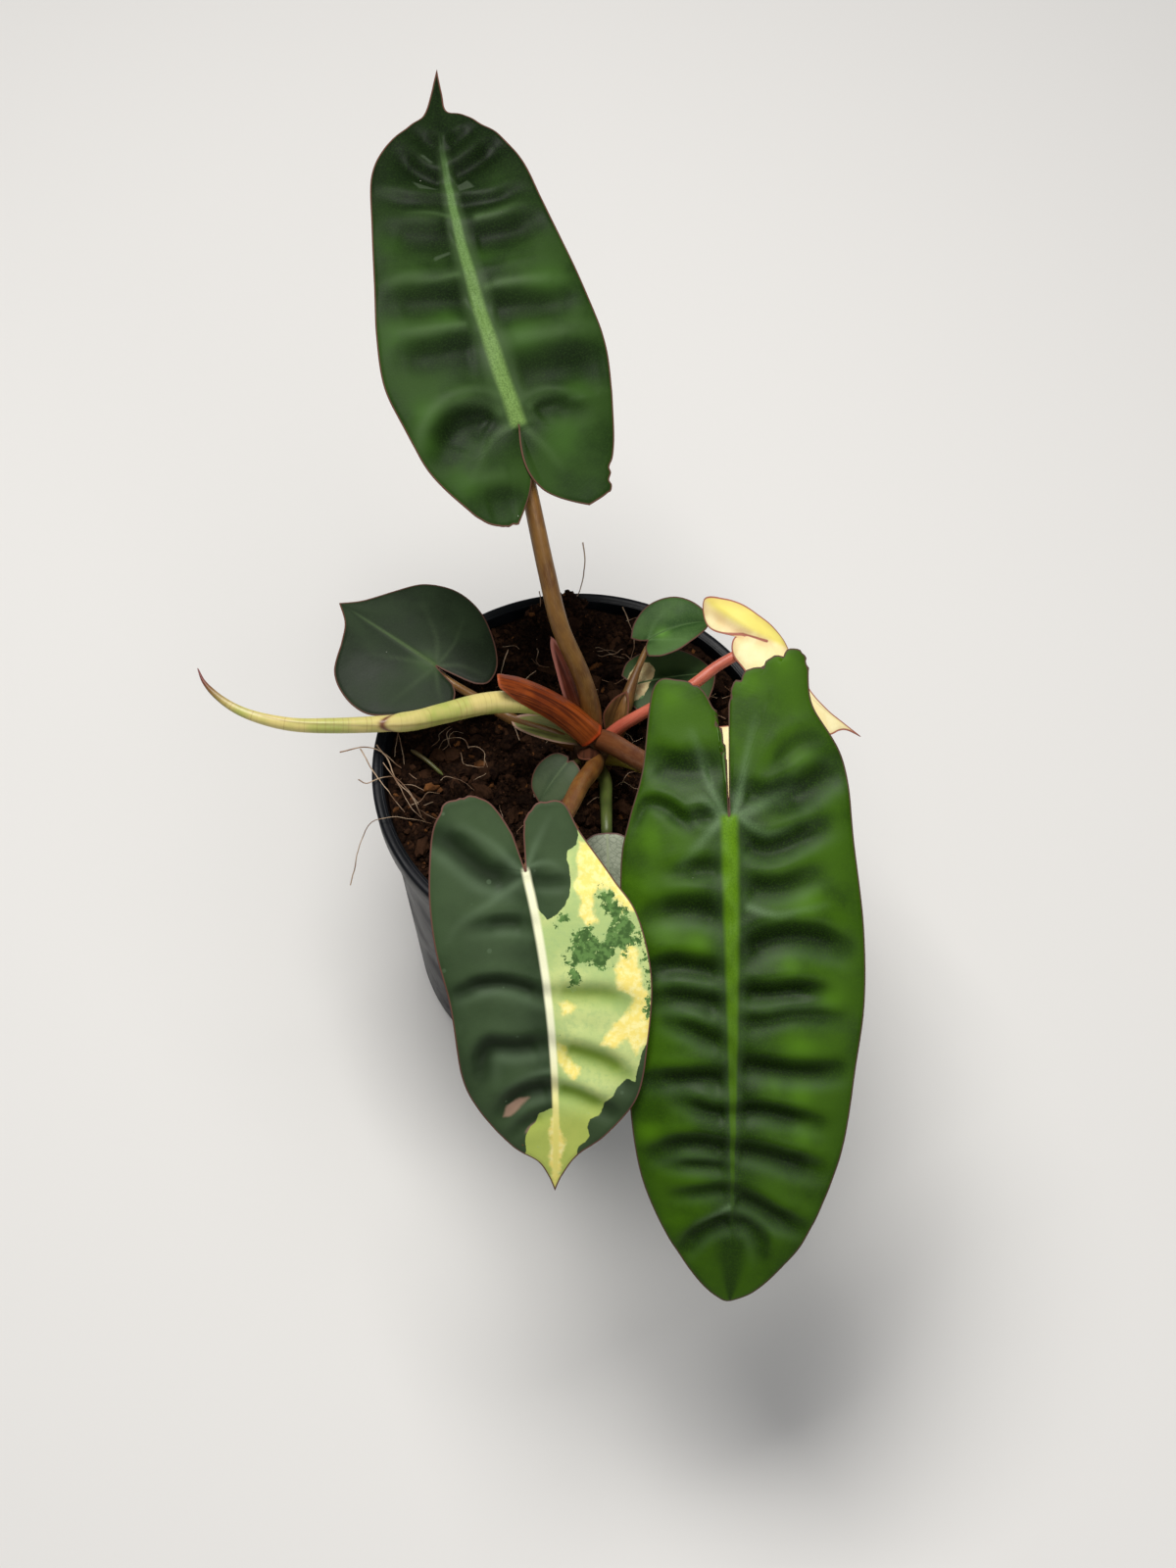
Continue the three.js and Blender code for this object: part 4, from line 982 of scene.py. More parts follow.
skinD = leafSkin("leafGreyGreen", dict(
    deep=(0.007, 0.013, 0.005), green=(0.013, 0.024, 0.009), bright=(0.028, 0.047, 0.02),
    vivid=(0.055, 0.1, 0.035), trough=(0.005, 0.009, 0.004), vein=(0.055, 0.085, 0.038),
    rib=(0.07, 0.115, 0.036), ribTip=(0.03, 0.05, 0.02), under=(0.12, 0.16, 0.09),
    ribWide=0.7, ribNarrow=0.3, ribEnd=37.0, crest=0.3, shade=0.5, rays=0.6))
growLeaf("D", leafD, "leaf_grey_green", skinD)

# Small leaves F, G, I, J, K

smallLeaf = dict(rows=60, fan=30, columns=24, keel=0.8, thick=0.55, ribHeight=0.15, ribWidth=0.6, ripple=0.8,
                 rippleScale=90.0)
leafF = dict(
    smallLeaf, joint=(21.1, 32.6, 136), heading=35, bend=-31, pitch=(5, -5), length=20.4, halfWidth=12,
    left=dict(fold=25, droop=5, bow=0.1,
              outline=[[3.6, -3.7], [7, 0], [10, 6], [9.6, 12.5], [5, 18], [0, 20.4]]),
    right=dict(fold=25, droop=5, bow=0.1,
               outline=[[5.5, -4], [8.3, 0], [9, 7], [6.7, 14.2], [3.5, 18.6], [0, 20.4]]),
    rays=[([(0, 0), (4, 5), (7, 11)], 0.5), ([(0, 0), (-4, 5), (-7, 11)], 0.5)],
    vivid=[(0.5, 5, 2.4)],
)
skinF = leafSkin("leafYoungGreen", dict(
    deep=(0.02, 0.055, 0.012), green=(0.045, 0.105, 0.024), bright=(0.095, 0.185, 0.05),
    vivid=(0.16, 0.36, 0.06), trough=(0.02, 0.05, 0.015), vein=(0.14, 0.25, 0.09), rib=(0.07, 0.14, 0.04),
    ribTip=(0.06, 0.12, 0.035), under=(0.12, 0.18, 0.08), ribWide=0.4, ribNarrow=0.2, ribEnd=20.0))
growLeaf("F", leafF, "leaf_dark", skinF)

paleCorner = [(6, -4), (5.5, 0.5), (2, 3.2), (-3, 6.4), (-6.5, 5.5), (-7, 2), (-2, -3)]
roundHalf = dict(fold=8, droop=12, bow=0.1)
leafG = dict(
    smallLeaf, joint=(18, 24, 125), heading=12, pitch=(6, -16), length=25, halfWidth=12,
    left=dict(roundHalf, outline=[[4, -4], [8.5, -1], [11, 6], [10.5, 13], [6, 20.5], [0, 25]]),
    right=dict(roundHalf, outline=[[4, -4], [9, -2], [13, 3], [15, 10], [12.5, 17.5], [6, 22.5], [0, 25]]),
    patches=dict(
        pale=[paleCorner], cream=[paleCorner], fleck=[[(7, -3), (8, 1), (5, 3), (4, -1)]]),
)
skinG = variegatedSkin("leafMarbled", dict(
    deep=(0.014, 0.034, 0.008), green=(0.03, 0.065, 0.016), bright=(0.07, 0.12, 0.04),
    trough=(0.02, 0.04, 0.015), vein=(0.12, 0.2, 0.08),
    pale=(0.5, 0.42, 0.2), paleWarm=(0.5, 0.4, 0.2), mint=(0.3, 0.4, 0.2), tip=(0.4, 0.4, 0.2),
    cream=(0.6, 0.5, 0.26), creamWarm=(0.5, 0.36, 0.18), paleFoldShade=(0.3, 0.3, 0.1),
    fleck=(0.04, 0.09, 0.03), fleckLight=(0.08, 0.16, 0.05), rib=(0.08, 0.14, 0.05),
    ribTip=(0.08, 0.14, 0.05), under=(0.14, 0.18, 0.1), ribWide=0.4, ribNarrow=0.2, ribEnd=25.0))
growLeaf("G", leafG, "leaf_marbled", skinG)

sageHalf = dict(fold=8, droop=8, bow=0.1, outline=[[1, -1.4], [4.6, -0.2], [6.6, 3.6], [6.8, 8], [4.6, 12.4],
                                                   [0, 15]])
leafI = dict(smallLeaf, joint=(-3, -4.5, 127), heading=-130, pitch=(-10, -40), length=15, halfWidth=6,
             left=sageHalf, right=sageHalf)
skinI = leafSkin("leafSageGreen", dict(
    deep=(0.035, 0.055, 0.028), green=(0.05, 0.078, 0.036), bright=(0.08, 0.11, 0.055),
    trough=(0.02, 0.04, 0.015), vein=(0.1, 0.15, 0.07), rib=(0.09, 0.13, 0.06),
    ribTip=(0.07, 0.1, 0.05), under=(0.12, 0.15, 0.1), ribWide=0.3, ribNarrow=0.15, ribEnd=13.0))
growLeaf("I", leafI, "leaf_grey_green", skinI)

slimHalf = dict(fold=6, droop=10, bow=0.1,
                outline=[[0.8, 0.1], [4, 0.6], [7.4, 3.4], [9, 9], [7.5, 16], [3.5, 22.5], [0, 26]])
leafJ = dict(smallLeaf, joint=(8.5, -32, 134), heading=-88, pitch=(-12, -42), length=26, halfWidth=9,
             left=slimHalf, right=slimHalf)
backHalf = dict(fold=8, droop=12, bow=0.1, outline=[[4, -6], [9, -1], [12, 9], [11, 20], [6, 30], [0, 36]])
leafK = dict(smallLeaf, joint=(31, -12, 134), heading=16, pitch=(6, -16), length=36, halfWidth=13,
             left=backHalf, right=backHalf)


def nettedSkin(name, look):
    # Pale skin with a net of darker veins, as on a leaf's underside
    material, tree, shader = bareMaterial(name, 0.5, 0.15)
    place = objectPlace(tree)
    across, along, _ = attributeOf(tree, "plan", "Vector").split()
    creaseShade, edge, _ = attributeOf(tree, "mark", "Vector").split()
    tone = place.noise(160.0, detail=4.0)
    colour = tone.between(0.35, 0.65).mix(look["pale"], look["dull"])
    sway = vectorCalc("SCALE", place.noise(500.0, detail=2.0, output="Color"), scale=0.0006)
    cells = field(tree, "ShaderNodeTexVoronoi", {"Vector": vectorCalc("ADD", place, sway), "Scale": 620.0},
                  "Distance", feature="DISTANCE_TO_EDGE")
    net = cells.between(0.02, 0.1, 1.0, 0.0)
    slant = along * 1.9 + abs(across) * -1.5
    lines = abs(slant.calc("SINE")).between(0.0, 0.22, 1.0, 0.0)
    colour = (net * look["net"]).mix(colour, look["vein"])
    colour = (lines * (look["net"] * 1.6)).mix(colour, look["vein"])
    colour = abs(across).between(0.2, 0.5, 1.0, 0.0).mix(colour, look["rib"])
    rim = ((across + along) * 0.7).between(look["rimFrom"], look["rimTo"])
    colour = (rim * 0.85).mix(colour, look["rim"])
    # Painted shade along the fold's crease
    colour = (creaseShade * 0.5).mix(colour, look["creaseShade"])
    peach = edge.between(0.3, 3.0, 1.0, 0.0) * tone.between(0.35, 0.6, 0.2, 0.8)
    colour = (peach * look["peachShare"]).mix(colour, look["margin"])
    colour = (speckle(place, spacing=0.009, radius=0.0003, share=0.35) * 0.7).mix(colour, look["crumb"])
    edge.between(0.3, 0.6, 1.0, 0.0).mix(colour, look["margin"]).to(shader["Base Color"])
    leafBump(shader, place, across, along)
    return material


skinJ = nettedSkin("leafPaleNet", dict(
    pale=(0.33, 0.36, 0.27), dull=(0.25, 0.28, 0.2), vein=(0.1, 0.12, 0.08), rib=(0.3, 0.34, 0.22),
    rim=(0.14, 0.17, 0.11), margin=(0.12, 0.06, 0.05), creaseShade=(0.2, 0.2, 0.15), crumb=(0.2, 0.2, 0.15),
    net=0.45, rimFrom=-30.0, rimTo=-40.0, peachShare=0.0))
growLeaf("J", leafJ, "leaf_pale", skinJ)
creamLook = dict(
    pale=(0.9, 0.81, 0.46), dull=(0.86, 0.72, 0.36), vein=(0.75, 0.6, 0.2), rib=(0.85, 0.74, 0.38),
    rim=(0.76, 0.66, 0.12), margin=(0.34, 0.12, 0.08), creaseShade=(0.6, 0.36, 0.16), crumb=(0.2, 0.09, 0.04),
    net=0.08, rimFrom=0.6, rimTo=-1.6, peachShare=0.3)
skinCream = nettedSkin("leafCream", creamLook)
growLeaf("K", leafK, "leaf_cream", skinCream)

# Leaf H: cream, curled, with a yellow-green rolled margin

leafH = dict(
    smallLeaf, joint=(56, 24, 149), heading=-66, bend=56, pitch=(-9, -39), length=41.6, halfWidth=12,
    rows=80, fan=60, columns=30, ripple=1.2, rippleScale=80.0,
    left=dict(fold=0, droop=80,
              outline=[[-6, -4.6], [-12.2, -6.8], [-16, -10.6], [-15.6, -16.6], [-8.7, -15.2], [-3.1, -12.3],
                       [1.3, -7.9], [4, -4], [5.7, 0.7], [5.2, 6], [3.4, 15], [1.8, 21], [1, 28],
                       [0.7, 35], [0, 41.6]]),
    right=dict(fold=10, droop=30,
               outline=[[4.5, -4], [8, -4.6], [10.4, -2.6], [11.1, 0.1], [10.4, 4], [10, 11], [9, 19],
                        [7.8, 27], [5.8, 31.5], [2.6, 33.8], [0.8, 36.5], [0, 41.6]]),
    depth=0.9, folds=[([(12.8, -12.2), (8, -7.6), (3, -2.4)], 0.8, 1.0)],
)
growLeaf("H", leafH, "leaf_cream", skinCream)
print("small leaves made")


# Stalks

def makeStalkTree():
    # A tube along a line of points, with its half width and its flatness given on the points
    tree, given, give = newNodes("stalkTube", {"Sides": ("Int", 28)})
    curve = field(tree, "GeometryNodeMeshToCurve", {"Mesh": given["Geometry"]})
    curve = field(tree, "GeometryNodeSetCurveNormal", {"Curve": curve}, mode="Z_UP")
    place = field(tree, "GeometryNodeInputPosition")
    curve = store(curve, "centre", place, "FLOAT_VECTOR")
    curve = store(curve, "upward", field(tree, "GeometryNodeInputNormal"), "FLOAT_VECTOR")
    curve = store(curve, "along", field(tree, "GeometryNodeSplineParameter", output="Length"))
    ring = field(tree, "GeometryNodeCurvePrimitiveCircle", {"Resolution": given["Sides"], "Radius": 1.0})
    ring = store(ring, "around", field(tree, "GeometryNodeSplineParameter", output="Factor"))
    tube = field(tree, "GeometryNodeCurveToMesh", {
        "Curve": curve, "Profile Curve": ring, "Scale": named(tree, "girth"), "Fill Caps": True})
    upward = named(tree, "upward", "FLOAT_VECTOR")
    aside = vectorCalc("SUBTRACT", place, named(tree, "centre", "FLOAT_VECTOR"))
    squeeze = vectorCalc("DOT_PRODUCT", aside, upward) * (named(tree, "flat") - 1.0)
    return closeTree(move(tube, vectorCalc("SCALE", upward, scale=squeeze)), given, give)


stalkTree = makeStalkTree()


stalkLook = dict(footLength=0.02, footShare=0.7)


def stalkSkin(name, look):
    # Fleshy skin with fine lengthwise streaks
    look = {**stalkLook, **look}
    material, tree, shader = bareMaterial(name, 0.38, 0.4)
    place, along = objectPlace(tree), attributeOf(tree, "along")
    turn = attributeOf(tree, "around") * (2 * math.pi)
    ring = combine(tree, turn.calc("COSINE") * 2.2, turn.calc("SINE") * 2.2, along * 90.0)
    streaks = ring.noise(4.0, detail=4.0, roughness=0.6)
    tone = place.noise(130.0)
    colour = tone.between(0.35, 0.65).mix(look["dark"], look["light"])
    colour = (streaks.between(0.45, 0.7) * 0.6).mix(colour, look["streak"])
    foot = along.between(0.0, look["footLength"], 1.0, 0.0) * look["footShare"]
    foot.mix(colour, look["foot"]).to(shader["Base Color"])
    roughen(shader, streaks + place.noise(2400.0) * 0.3, strength=0.25, distance=0.0003)
    return material


def sizeAt(sizes, t):
    t = np.clip(t, 0, 1) * (len(sizes) - 1)
    return np.stack([np.interp(t, np.arange(len(sizes)), [size[k] for size in sizes]) for k in (0, 1)], 1)


# Between a stalk's end and the blade's underside, in millimetres
stalkGap = 0.3


def stalkEnd(leaf, last, keel, seat, thick):
    # Where a stalk ends: just under its blade
    under = thick / 2 + keel + stalkGap + last * seat
    return bendBlade({**bladeBase, **leaf}, np.array([0.001]), np.array([leaf["length"] * 0.02]), -under)[0]


def growStalk(name, path, sizes, slotName, skin, *nodes, sides=28, step=1.2):
    length = np.linalg.norm(np.diff(np.array(path, float), axis=0), axis=1).sum()
    line = curveThrough(path, max(12, int(length / step)), alpha=0.5)
    t = np.linspace(0, 1, len(line))
    size = sizeAt(sizes, t)
    ends = np.minimum(1, 0.35 + 0.65 * np.sqrt(np.clip(np.minimum(t, 1 - t) * length / step, 0, 1)))
    piece = meshFrom(name, line, [], {"girth": size[:, 0] * ends * mm, "flat": size[:, 1] / size[:, 0]},
                     edges=[(i, i + 1) for i in range(len(line) - 1)])
    return keep(settle(piece, stalkTree, {"Sides": sides, "Material": skin}), slotName, *nodes)


brown = dict(dark=(0.13, 0.055, 0.014), light=(0.21, 0.1, 0.022), streak=(0.27, 0.15, 0.04),
             foot=(0.12, 0.035, 0.012))
stalkBrown = stalkSkin("stalkOliveBrown", brown)
stalkRedBrown = stalkSkin("stalkRedBrown", dict(
    brown, dark=(0.085, 0.025, 0.008), light=(0.13, 0.045, 0.014), streak=(0.17, 0.07, 0.025)))
stalkOrange = stalkSkin("stalkOrangeBrown", dict(
    brown, dark=(0.14, 0.05, 0.012), light=(0.24, 0.1, 0.02), streak=(0.2, 0.12, 0.03),
    foot=(0.03, 0.011, 0.006), footLength=0.024, footShare=0.95))
stalkCoral = stalkSkin("stalkCoral", dict(
    dark=(0.42, 0.085, 0.05), light=(0.55, 0.12, 0.07), streak=(0.6, 0.2, 0.12), foot=(0.45, 0.08, 0.04)))
stalkYellow = stalkSkin("stalkYellow", dict(
    dark=(0.3, 0.2, 0.03), light=(0.45, 0.35, 0.05), streak=(0.5, 0.42, 0.1), foot=(0.2, 0.09, 0.02)))
stalkGreen = stalkSkin("stalkGreen", dict(
    dark=(0.05, 0.075, 0.014), light=(0.085, 0.12, 0.022), streak=(0.07, 0.06, 0.02), foot=(0.08, 0.04, 0.015)))

stalkSeat = dict(keel=0.8, seat=1, thick=0.8)
stalks = {
    "B": dict(leaf=leafB, keel=1.8, seat=0.5, thick=0.9, skin=stalkRedBrown, slot="petiole_brown",
              path=[[3, 3, 128], [8, 0, 132], [16, -11, 142], [28, -26, 154]],
              sizes=[[3.2, 3.2], [3.1, 3.1], [2.7, 2.7], [2.3, 2.3]]),
    "A": dict(leaf=leafA, keel=1.8, seat=1, thick=0.9, skin=stalkBrown, slot="petiole_brown",
              path=[[4, 2, 120], [4, 8, 136], [1, 13, 148], [-5, 20, 163], [-9, 30, 178], [-13, 43, 193]],
              sizes=[[3.2, 3.2], [2.7, 2.7], [2.6, 2.6], [2.4, 2.4], [2.3, 2.3]]),
    "C": dict(leaf=leafC, keel=1.8, seat=0.6, thick=0.9, skin=stalkOrange, slot="petiole_brown",
              path=[[4, 2, 122], [5, -7, 130], [1, -22, 145], [-3, -38, 158], [-9, -54, 168]],
              sizes=[[2.8, 2.8], [2.6, 2.6], [2.5, 2.5], [2.2, 2.2]]),
    "D": dict(leaf=leafD, skin=stalkBrown, slot="petiole_brown",
              path=[[4, 2, 122], [-8, 4, 129], [-20, 7, 133], [-30, 14, 133], [-38, 20, 132]],
              sizes=[[3.2, 2], [3.2, 2], [2.1, 1.5], [1.4, 1.3], [1.3, 1.2]]),
    "F": dict(leaf=leafF, skin=stalkBrown, slot="petiole_brown",
              path=[[7, 4, 116], [12, 9, 122], [14, 14, 127], [16, 20, 130], [19, 27, 133]],
              sizes=[[1.6, 1.6], [3, 2.4], [2.6, 2.2], [1.1, 1.1], [0.9, 0.9]]),
    "G": dict(leaf=leafG, skin=stalkGreen, slot="petiole_green",
              path=[[6, 5, 118], [13, 14, 121], [16, 19, 123]], sizes=[[1.3, 1.3], [1, 1]]),
    "H": dict(leaf=leafH, skin=stalkCoral, slot="petiole_red",
              path=[[5, 3, 122], [12, 6, 129], [19, 8, 134], [33, 13, 141], [42, 19, 144], [51, 23, 146]],
              sizes=[[2.2, 2.2], [1.8, 1.8], [1.7, 1.7], [1.5, 1.5]]),
    "I": dict(leaf=leafI, skin=stalkGreen, slot="petiole_green",
              path=[[3, 0, 120], [0, -2.5, 123.5]], sizes=[[1.2, 1.2], [0.9, 0.9]]),
    "J": dict(leaf=leafJ, skin=stalkGreen, slot="petiole_green",
              path=[[5, 1, 117], [8, -8, 123], [8.3, -18, 128], [8.4, -26, 131]],
              sizes=[[2.2, 2.2], [1.9, 1.9], [1.6, 1.6]]),
    "K": dict(leaf=leafK, skin=stalkYellow, slot="petiole_yellow",
              path=[[5, 2, 117], [13, -3, 125], [20, -8, 129], [26, -10.5, 131]],
              sizes=[[1.9, 1.9], [1.6, 1.6], [1.4, 1.4]]),
}
for name, stalk in stalks.items():
    stalk = {**stalkSeat, **stalk}
    end = stalkEnd(stalk["leaf"], stalk["sizes"][-1][0], stalk["keel"], stalk["seat"], stalk["thick"])
    growStalk(f"stalk_{name}", stalk["path"] + [list(end)], stalk["sizes"], stalk["slot"], stalk["skin"],
              f"petiole_{name}")
print("stalks grown")

# The rolled new leaf

spear = dict(
    path=[[3, 3, 130], [-3, 5, 138], [-11, 6, 143], [-20, 4, 147.5], [-28, 1.7, 150], [-39, -3.3, 153],
          [-48, -7.6, 156], [-69, -12, 161], [-82, -12, 162], [-94, -9, 163], [-101, -5, 164], [-106, 0, 165],
          [-108, 4, 166]],
    radii=[2.6, 3.3, 3.3, 3.1, 2.8, 2.7, 2.5, 2.1, 1.4, 0.5],
    rings=260, sides=44, wrapStep=0.45, wrapEnd=0.5, turns=0.55, start=0.33,
    slant=0.045, lap=0.18)


def rollLeaf(name, roll):
    # A tapering roll; its outer layer ends along a slanting edge
    rings, sides = roll["rings"], roll["sides"]
    line = curveThrough(roll["path"], rings, alpha=0.5)
    t = np.linspace(0, 1, rings)
    way = np.gradient(line, axis=0)
    way /= np.linalg.norm(way, axis=1)[:, None]
    across = np.cross(way, [0, 0, 1.0])
    across /= np.linalg.norm(across, axis=1)[:, None]
    over = np.cross(across, way)
    radius = np.interp(t, np.linspace(0, 1, len(roll["radii"])), roll["radii"])[:, None]
    turn = np.linspace(0, 1, sides, endpoint=False)
    around = (turn[None, :] + roll["turns"] * t[:, None] + roll["start"]) % 1.0
    run = t[:, None] - roll["wrapEnd"] - roll["slant"] * np.sin(2 * math.pi * (turn[None, :] - 0.1))
    layer = smooth(0.008, -0.008, run) - 0.4
    slim = np.minimum(1, radius / 2)
    size = radius * 0.94 + roll["wrapStep"] * layer * slim
    size = size + roll["lap"] * (around - 0.5) * slim * smooth(0.0, 0.05, around)
    size *= np.minimum(1, 0.25 + 3 * np.sqrt(np.clip(np.minimum(t, 1 - t), 0, 1)))[:, None]
    angle = 2 * math.pi * turn
    points = (line[:, None] + across[:, None] * (np.cos(angle) * size)[..., None]
              + over[:, None] * (np.sin(angle) * size)[..., None]).reshape(-1, 3)
    edge = np.exp(-(run / 0.009) ** 2)
    seam = np.exp(-(np.minimum(around, 1 - around) / 0.02) ** 2) * smooth(0.03, 0.08, t)[:, None]
    marks = np.stack([np.broadcast_to(t[:, None], around.shape), edge, seam], -1).reshape(-1, 3)
    return meshFrom(name, points, tubeFaces(rings, sides, flip=True), {"roll": marks})


def rollSkin(name, look):
    material, tree, shader = bareMaterial(name, 0.36, 0.4)
    place = objectPlace(tree)
    along, edge, seam = attributeOf(tree, "roll", "Vector").split()
    bands = combine(tree, along * 160.0).noise(1.0, roughness=0.7)
    blotch = place.noise(210.0, roughness=0.6)
    colour = place.noise(90.0).between(0.35, 0.65).mix(look["pale"], look["green"])
    colour = (bands.between(0.52, 0.66) * 0.6).mix(colour, look["band"])
    spread = blotch.between(0.56, 0.68) * along.between(0.15, 0.4, 0.35, 0.1)
    colour = spread.mix(colour, look["blotch"])
    colour = along.between(0.84, 0.985).mix(colour, look["tip"])
    edge.calc("MAXIMUM", seam * 0.35).mix(colour, look["edge"]).to(shader["Base Color"])
    roughen(shader, bands, strength=0.3, distance=0.0002)
    return material


spearSkin = rollSkin("rolledLeafSkin", dict(
    pale=(0.6, 0.5, 0.18), green=(0.36, 0.4, 0.09), band=(0.3, 0.2, 0.06), blotch=(0.42, 0.2, 0.08),
    tip=(0.13, 0.014, 0.01), edge=(0.13, 0.035, 0.015)))
spearPiece = rollLeaf("rolled_leaf", spear)
spearPiece.data.materials.append(spearSkin)
keep(spearPiece, "spear", "spear")

# Sheath leaves

sheathBase = dict(rows=90, fan=0, columns=20, sweep=(0, 0), arc=0, ribHeight=0.5, ribWidth=0.8, ripple=0.5,
                  rippleScale=120.0, keel=0.3)
rustHalf = dict(fold=-6, droop=80, outline=[[6.6, 0], [6.8, 6], [6.6, 14], [6.1, 23], [5, 30], [3.4, 35],
                                            [2.2, 37.4], [0, 38]])
redHalf = dict(fold=-10, droop=50, outline=[[3.4, 0], [3.4, 8], [2.4, 17], [1.4, 23], [0, 26]])
cataphyll = dict(
    sheathBase, thick=0.8, joint=(6.2, 0.5, 134.5), heading=150, bend=37.6, pitch=(44, 29.5), length=38,
    halfWidth=6, left=rustHalf, right=rustHalf)
redSheath = dict(
    sheathBase, thick=0.7, joint=(1, 8, 134), heading=116, bend=10, pitch=(48, 48), length=26, halfWidth=4,
    left=redHalf, right=redHalf)


sheathLook = dict(ribScale=1.0, baseFrom=0.5, baseTo=2.0)


def sheathSkin(name, look):
    # Papery sheath with lengthwise ribs
    look = {**sheathLook, **look}
    material, tree, shader = bareMaterial(name, 0.36, 0.2)
    across, along, _ = attributeOf(tree, "plan", "Vector").split()
    _, edge, under = attributeOf(tree, "mark", "Vector").split()
    ribs = combine(tree, across, along * 0.025).noise(look["ribScale"], roughness=0.62)
    tone = objectPlace(tree).noise(120.0)
    colour = tone.between(0.35, 0.65).mix(look["dark"], look["light"])
    colour = along.between(look["glowFrom"], look["glowTo"], 0.5, 0.0).mix(colour, look["glow"])
    grooves = ribs.between(0.47, 0.6) * along.between(1.0, 14.0, 0.25, 0.85)
    colour = grooves.mix(colour, look["rib"])
    rim = edge.between(look["rimWidth"] * 0.4, look["rimWidth"], 0.85, 0.0)
    colour = rim.mix(colour, look["rim"])
    colour = along.between(look["baseFrom"], look["baseTo"], 0.85, 0.0).mix(colour, look["base"])
    (under * 0.7).mix(colour, look["inside"]).to(shader["Base Color"])
    roughen(shader, ribs, strength=0.5, distance=0.0005)
    return material


rustSkin = sheathSkin("sheathRust", dict(
    ribScale=1.3, dark=(0.16, 0.028, 0.005), light=(0.26, 0.052, 0.008), rib=(0.055, 0.01, 0.003),
    rim=(0.33, 0.07, 0.02), rimWidth=0.8, glow=(0.32, 0.075, 0.012), glowFrom=4.0, glowTo=16.0,
    base=(0.5, 0.06, 0.012), inside=(0.2, 0.08, 0.04), baseFrom=0.4, baseTo=1.7))
growBlade("rust_sheath", cataphyll, "cataphyll", rustSkin, "cataphyll")
drySkin = sheathSkin("sheathDryRed", dict(
    dark=(0.1, 0.022, 0.011), light=(0.2, 0.05, 0.028), rib=(0.06, 0.012, 0.007), rim=(0.5, 0.19, 0.15),
    rimWidth=1.3, glow=(0.2, 0.06, 0.02), glowFrom=2.0, glowTo=9.0, base=(0.16, 0.04, 0.02),
    inside=(0.2, 0.07, 0.05)))
growBlade("dry_red_sheath", redSheath, "red_sheath", drySkin, "red_sheath")

wingedSheath = dict(
    sheathBase, thick=0.6, joint=(0, 3.2, 128), heading=176, bend=-6, pitch=(26, 6), length=21, halfWidth=5,
    left=dict(fold=12, droop=-30, outline=[[3, 0], [4.8, 6], [4.6, 13], [2.6, 19], [0, 21]]),
    right=dict(fold=58, droop=-20, outline=[[2.6, 0], [4.4, 6], [4.2, 13], [2.4, 19], [0, 21]]))
tulipHalf = dict(fold=35, droop=-25, outline=[[2.2, 0], [4.2, 4], [4.3, 7], [2.8, 11], [0, 14]])
tulipSheath = dict(
    sheathBase, thick=0.5, joint=(10.2, 9, 121.5), heading=62, bend=0, pitch=(50, 42), length=14, halfWidth=5,
    left=tulipHalf, right=tulipHalf)
wingSkin = sheathSkin("sheathPaleGreen", dict(
    dark=(0.2, 0.2, 0.06), light=(0.3, 0.32, 0.1), rib=(0.13, 0.15, 0.045), rim=(0.5, 0.3, 0.24),
    rimWidth=0.9, glow=(0.3, 0.2, 0.07), glowFrom=2.0, glowTo=6.0, base=(0.16, 0.1, 0.04),
    inside=(0.3, 0.17, 0.1)))
growBlade("winged_sheath", wingedSheath, "petiole_green", wingSkin)
collarHalf = dict(fold=-15, droop=60, outline=[[4, 0], [4.4, 4], [3.6, 8], [1.6, 11], [0, 12]])
collarSheath = dict(
    sheathBase, thick=0.5, joint=(3.6, 2, 128), heading=-92, pitch=(36, 30), length=12, halfWidth=5,
    left=collarHalf, right=collarHalf)
flameSkin = sheathSkin("sheathFlame", dict(
    dark=(0.085, 0.04, 0.014), light=(0.15, 0.08, 0.026), rib=(0.05, 0.022, 0.009), rim=(0.22, 0.08, 0.05),
    rimWidth=0.6, glow=(0.14, 0.1, 0.03), glowFrom=2.0, glowTo=7.0, base=(0.1, 0.05, 0.02),
    inside=(0.12, 0.06, 0.03)))
growBlade("tulip_sheath", tulipSheath, "petiole_brown", flameSkin)
collarSkin = sheathSkin("sheathCollar", dict(
    dark=(0.03, 0.012, 0.007), light=(0.07, 0.024, 0.012), rib=(0.02, 0.008, 0.005), rim=(0.14, 0.05, 0.03),
    rimWidth=0.5, glow=(0.09, 0.03, 0.014), glowFrom=0.5, glowTo=4.0, base=(0.05, 0.02, 0.01),
    inside=(0.06, 0.03, 0.02)))
growBlade("collar_sheath", collarSheath, "petiole_brown", collarSkin)
print("sheaths made")

# Crown of the stem

stem = dict(x=4, y=2, bottom=78, top=133, radius=7.2, rings=70, sides=56, rough=0.5,
            scars=(92, 101, 109, 116, 121, 126), scarHeight=0.35, scarWidth=0.7, scarSink=0.2)


def makeCrown(name, spec):
    # A short stem with leaf scars round it and a rough skin
    rings, sides = spec["rings"], spec["sides"]
    z = np.linspace(0, 1, rings)
    profile = np.interp(z, [0, 0.02, 0.22, 0.75, 0.9, 1], [0.5, 0.6, 1, 1, 0.88, 0.5]) * spec["radius"]
    heights = spec["bottom"] + z * (spec["top"] - spec["bottom"])
    for scar in spec["scars"]:
        bump = spec["scarHeight"] * np.exp(-((heights - scar) / spec["scarWidth"]) ** 2)
        profile = profile + bump - spec["scarSink"]
    points = []
    for height, radius in zip(heights, profile):
        for x, y in circle(sides):
            rough = spec["rough"] * noise.noise(Vector((x * 2.5, y * 2.5, height * 0.35)))
            points.append((spec["x"] + (radius + rough) * x, spec["y"] + (radius + rough) * y, height))
    return meshFrom(name, points, tubeFaces(rings, sides))


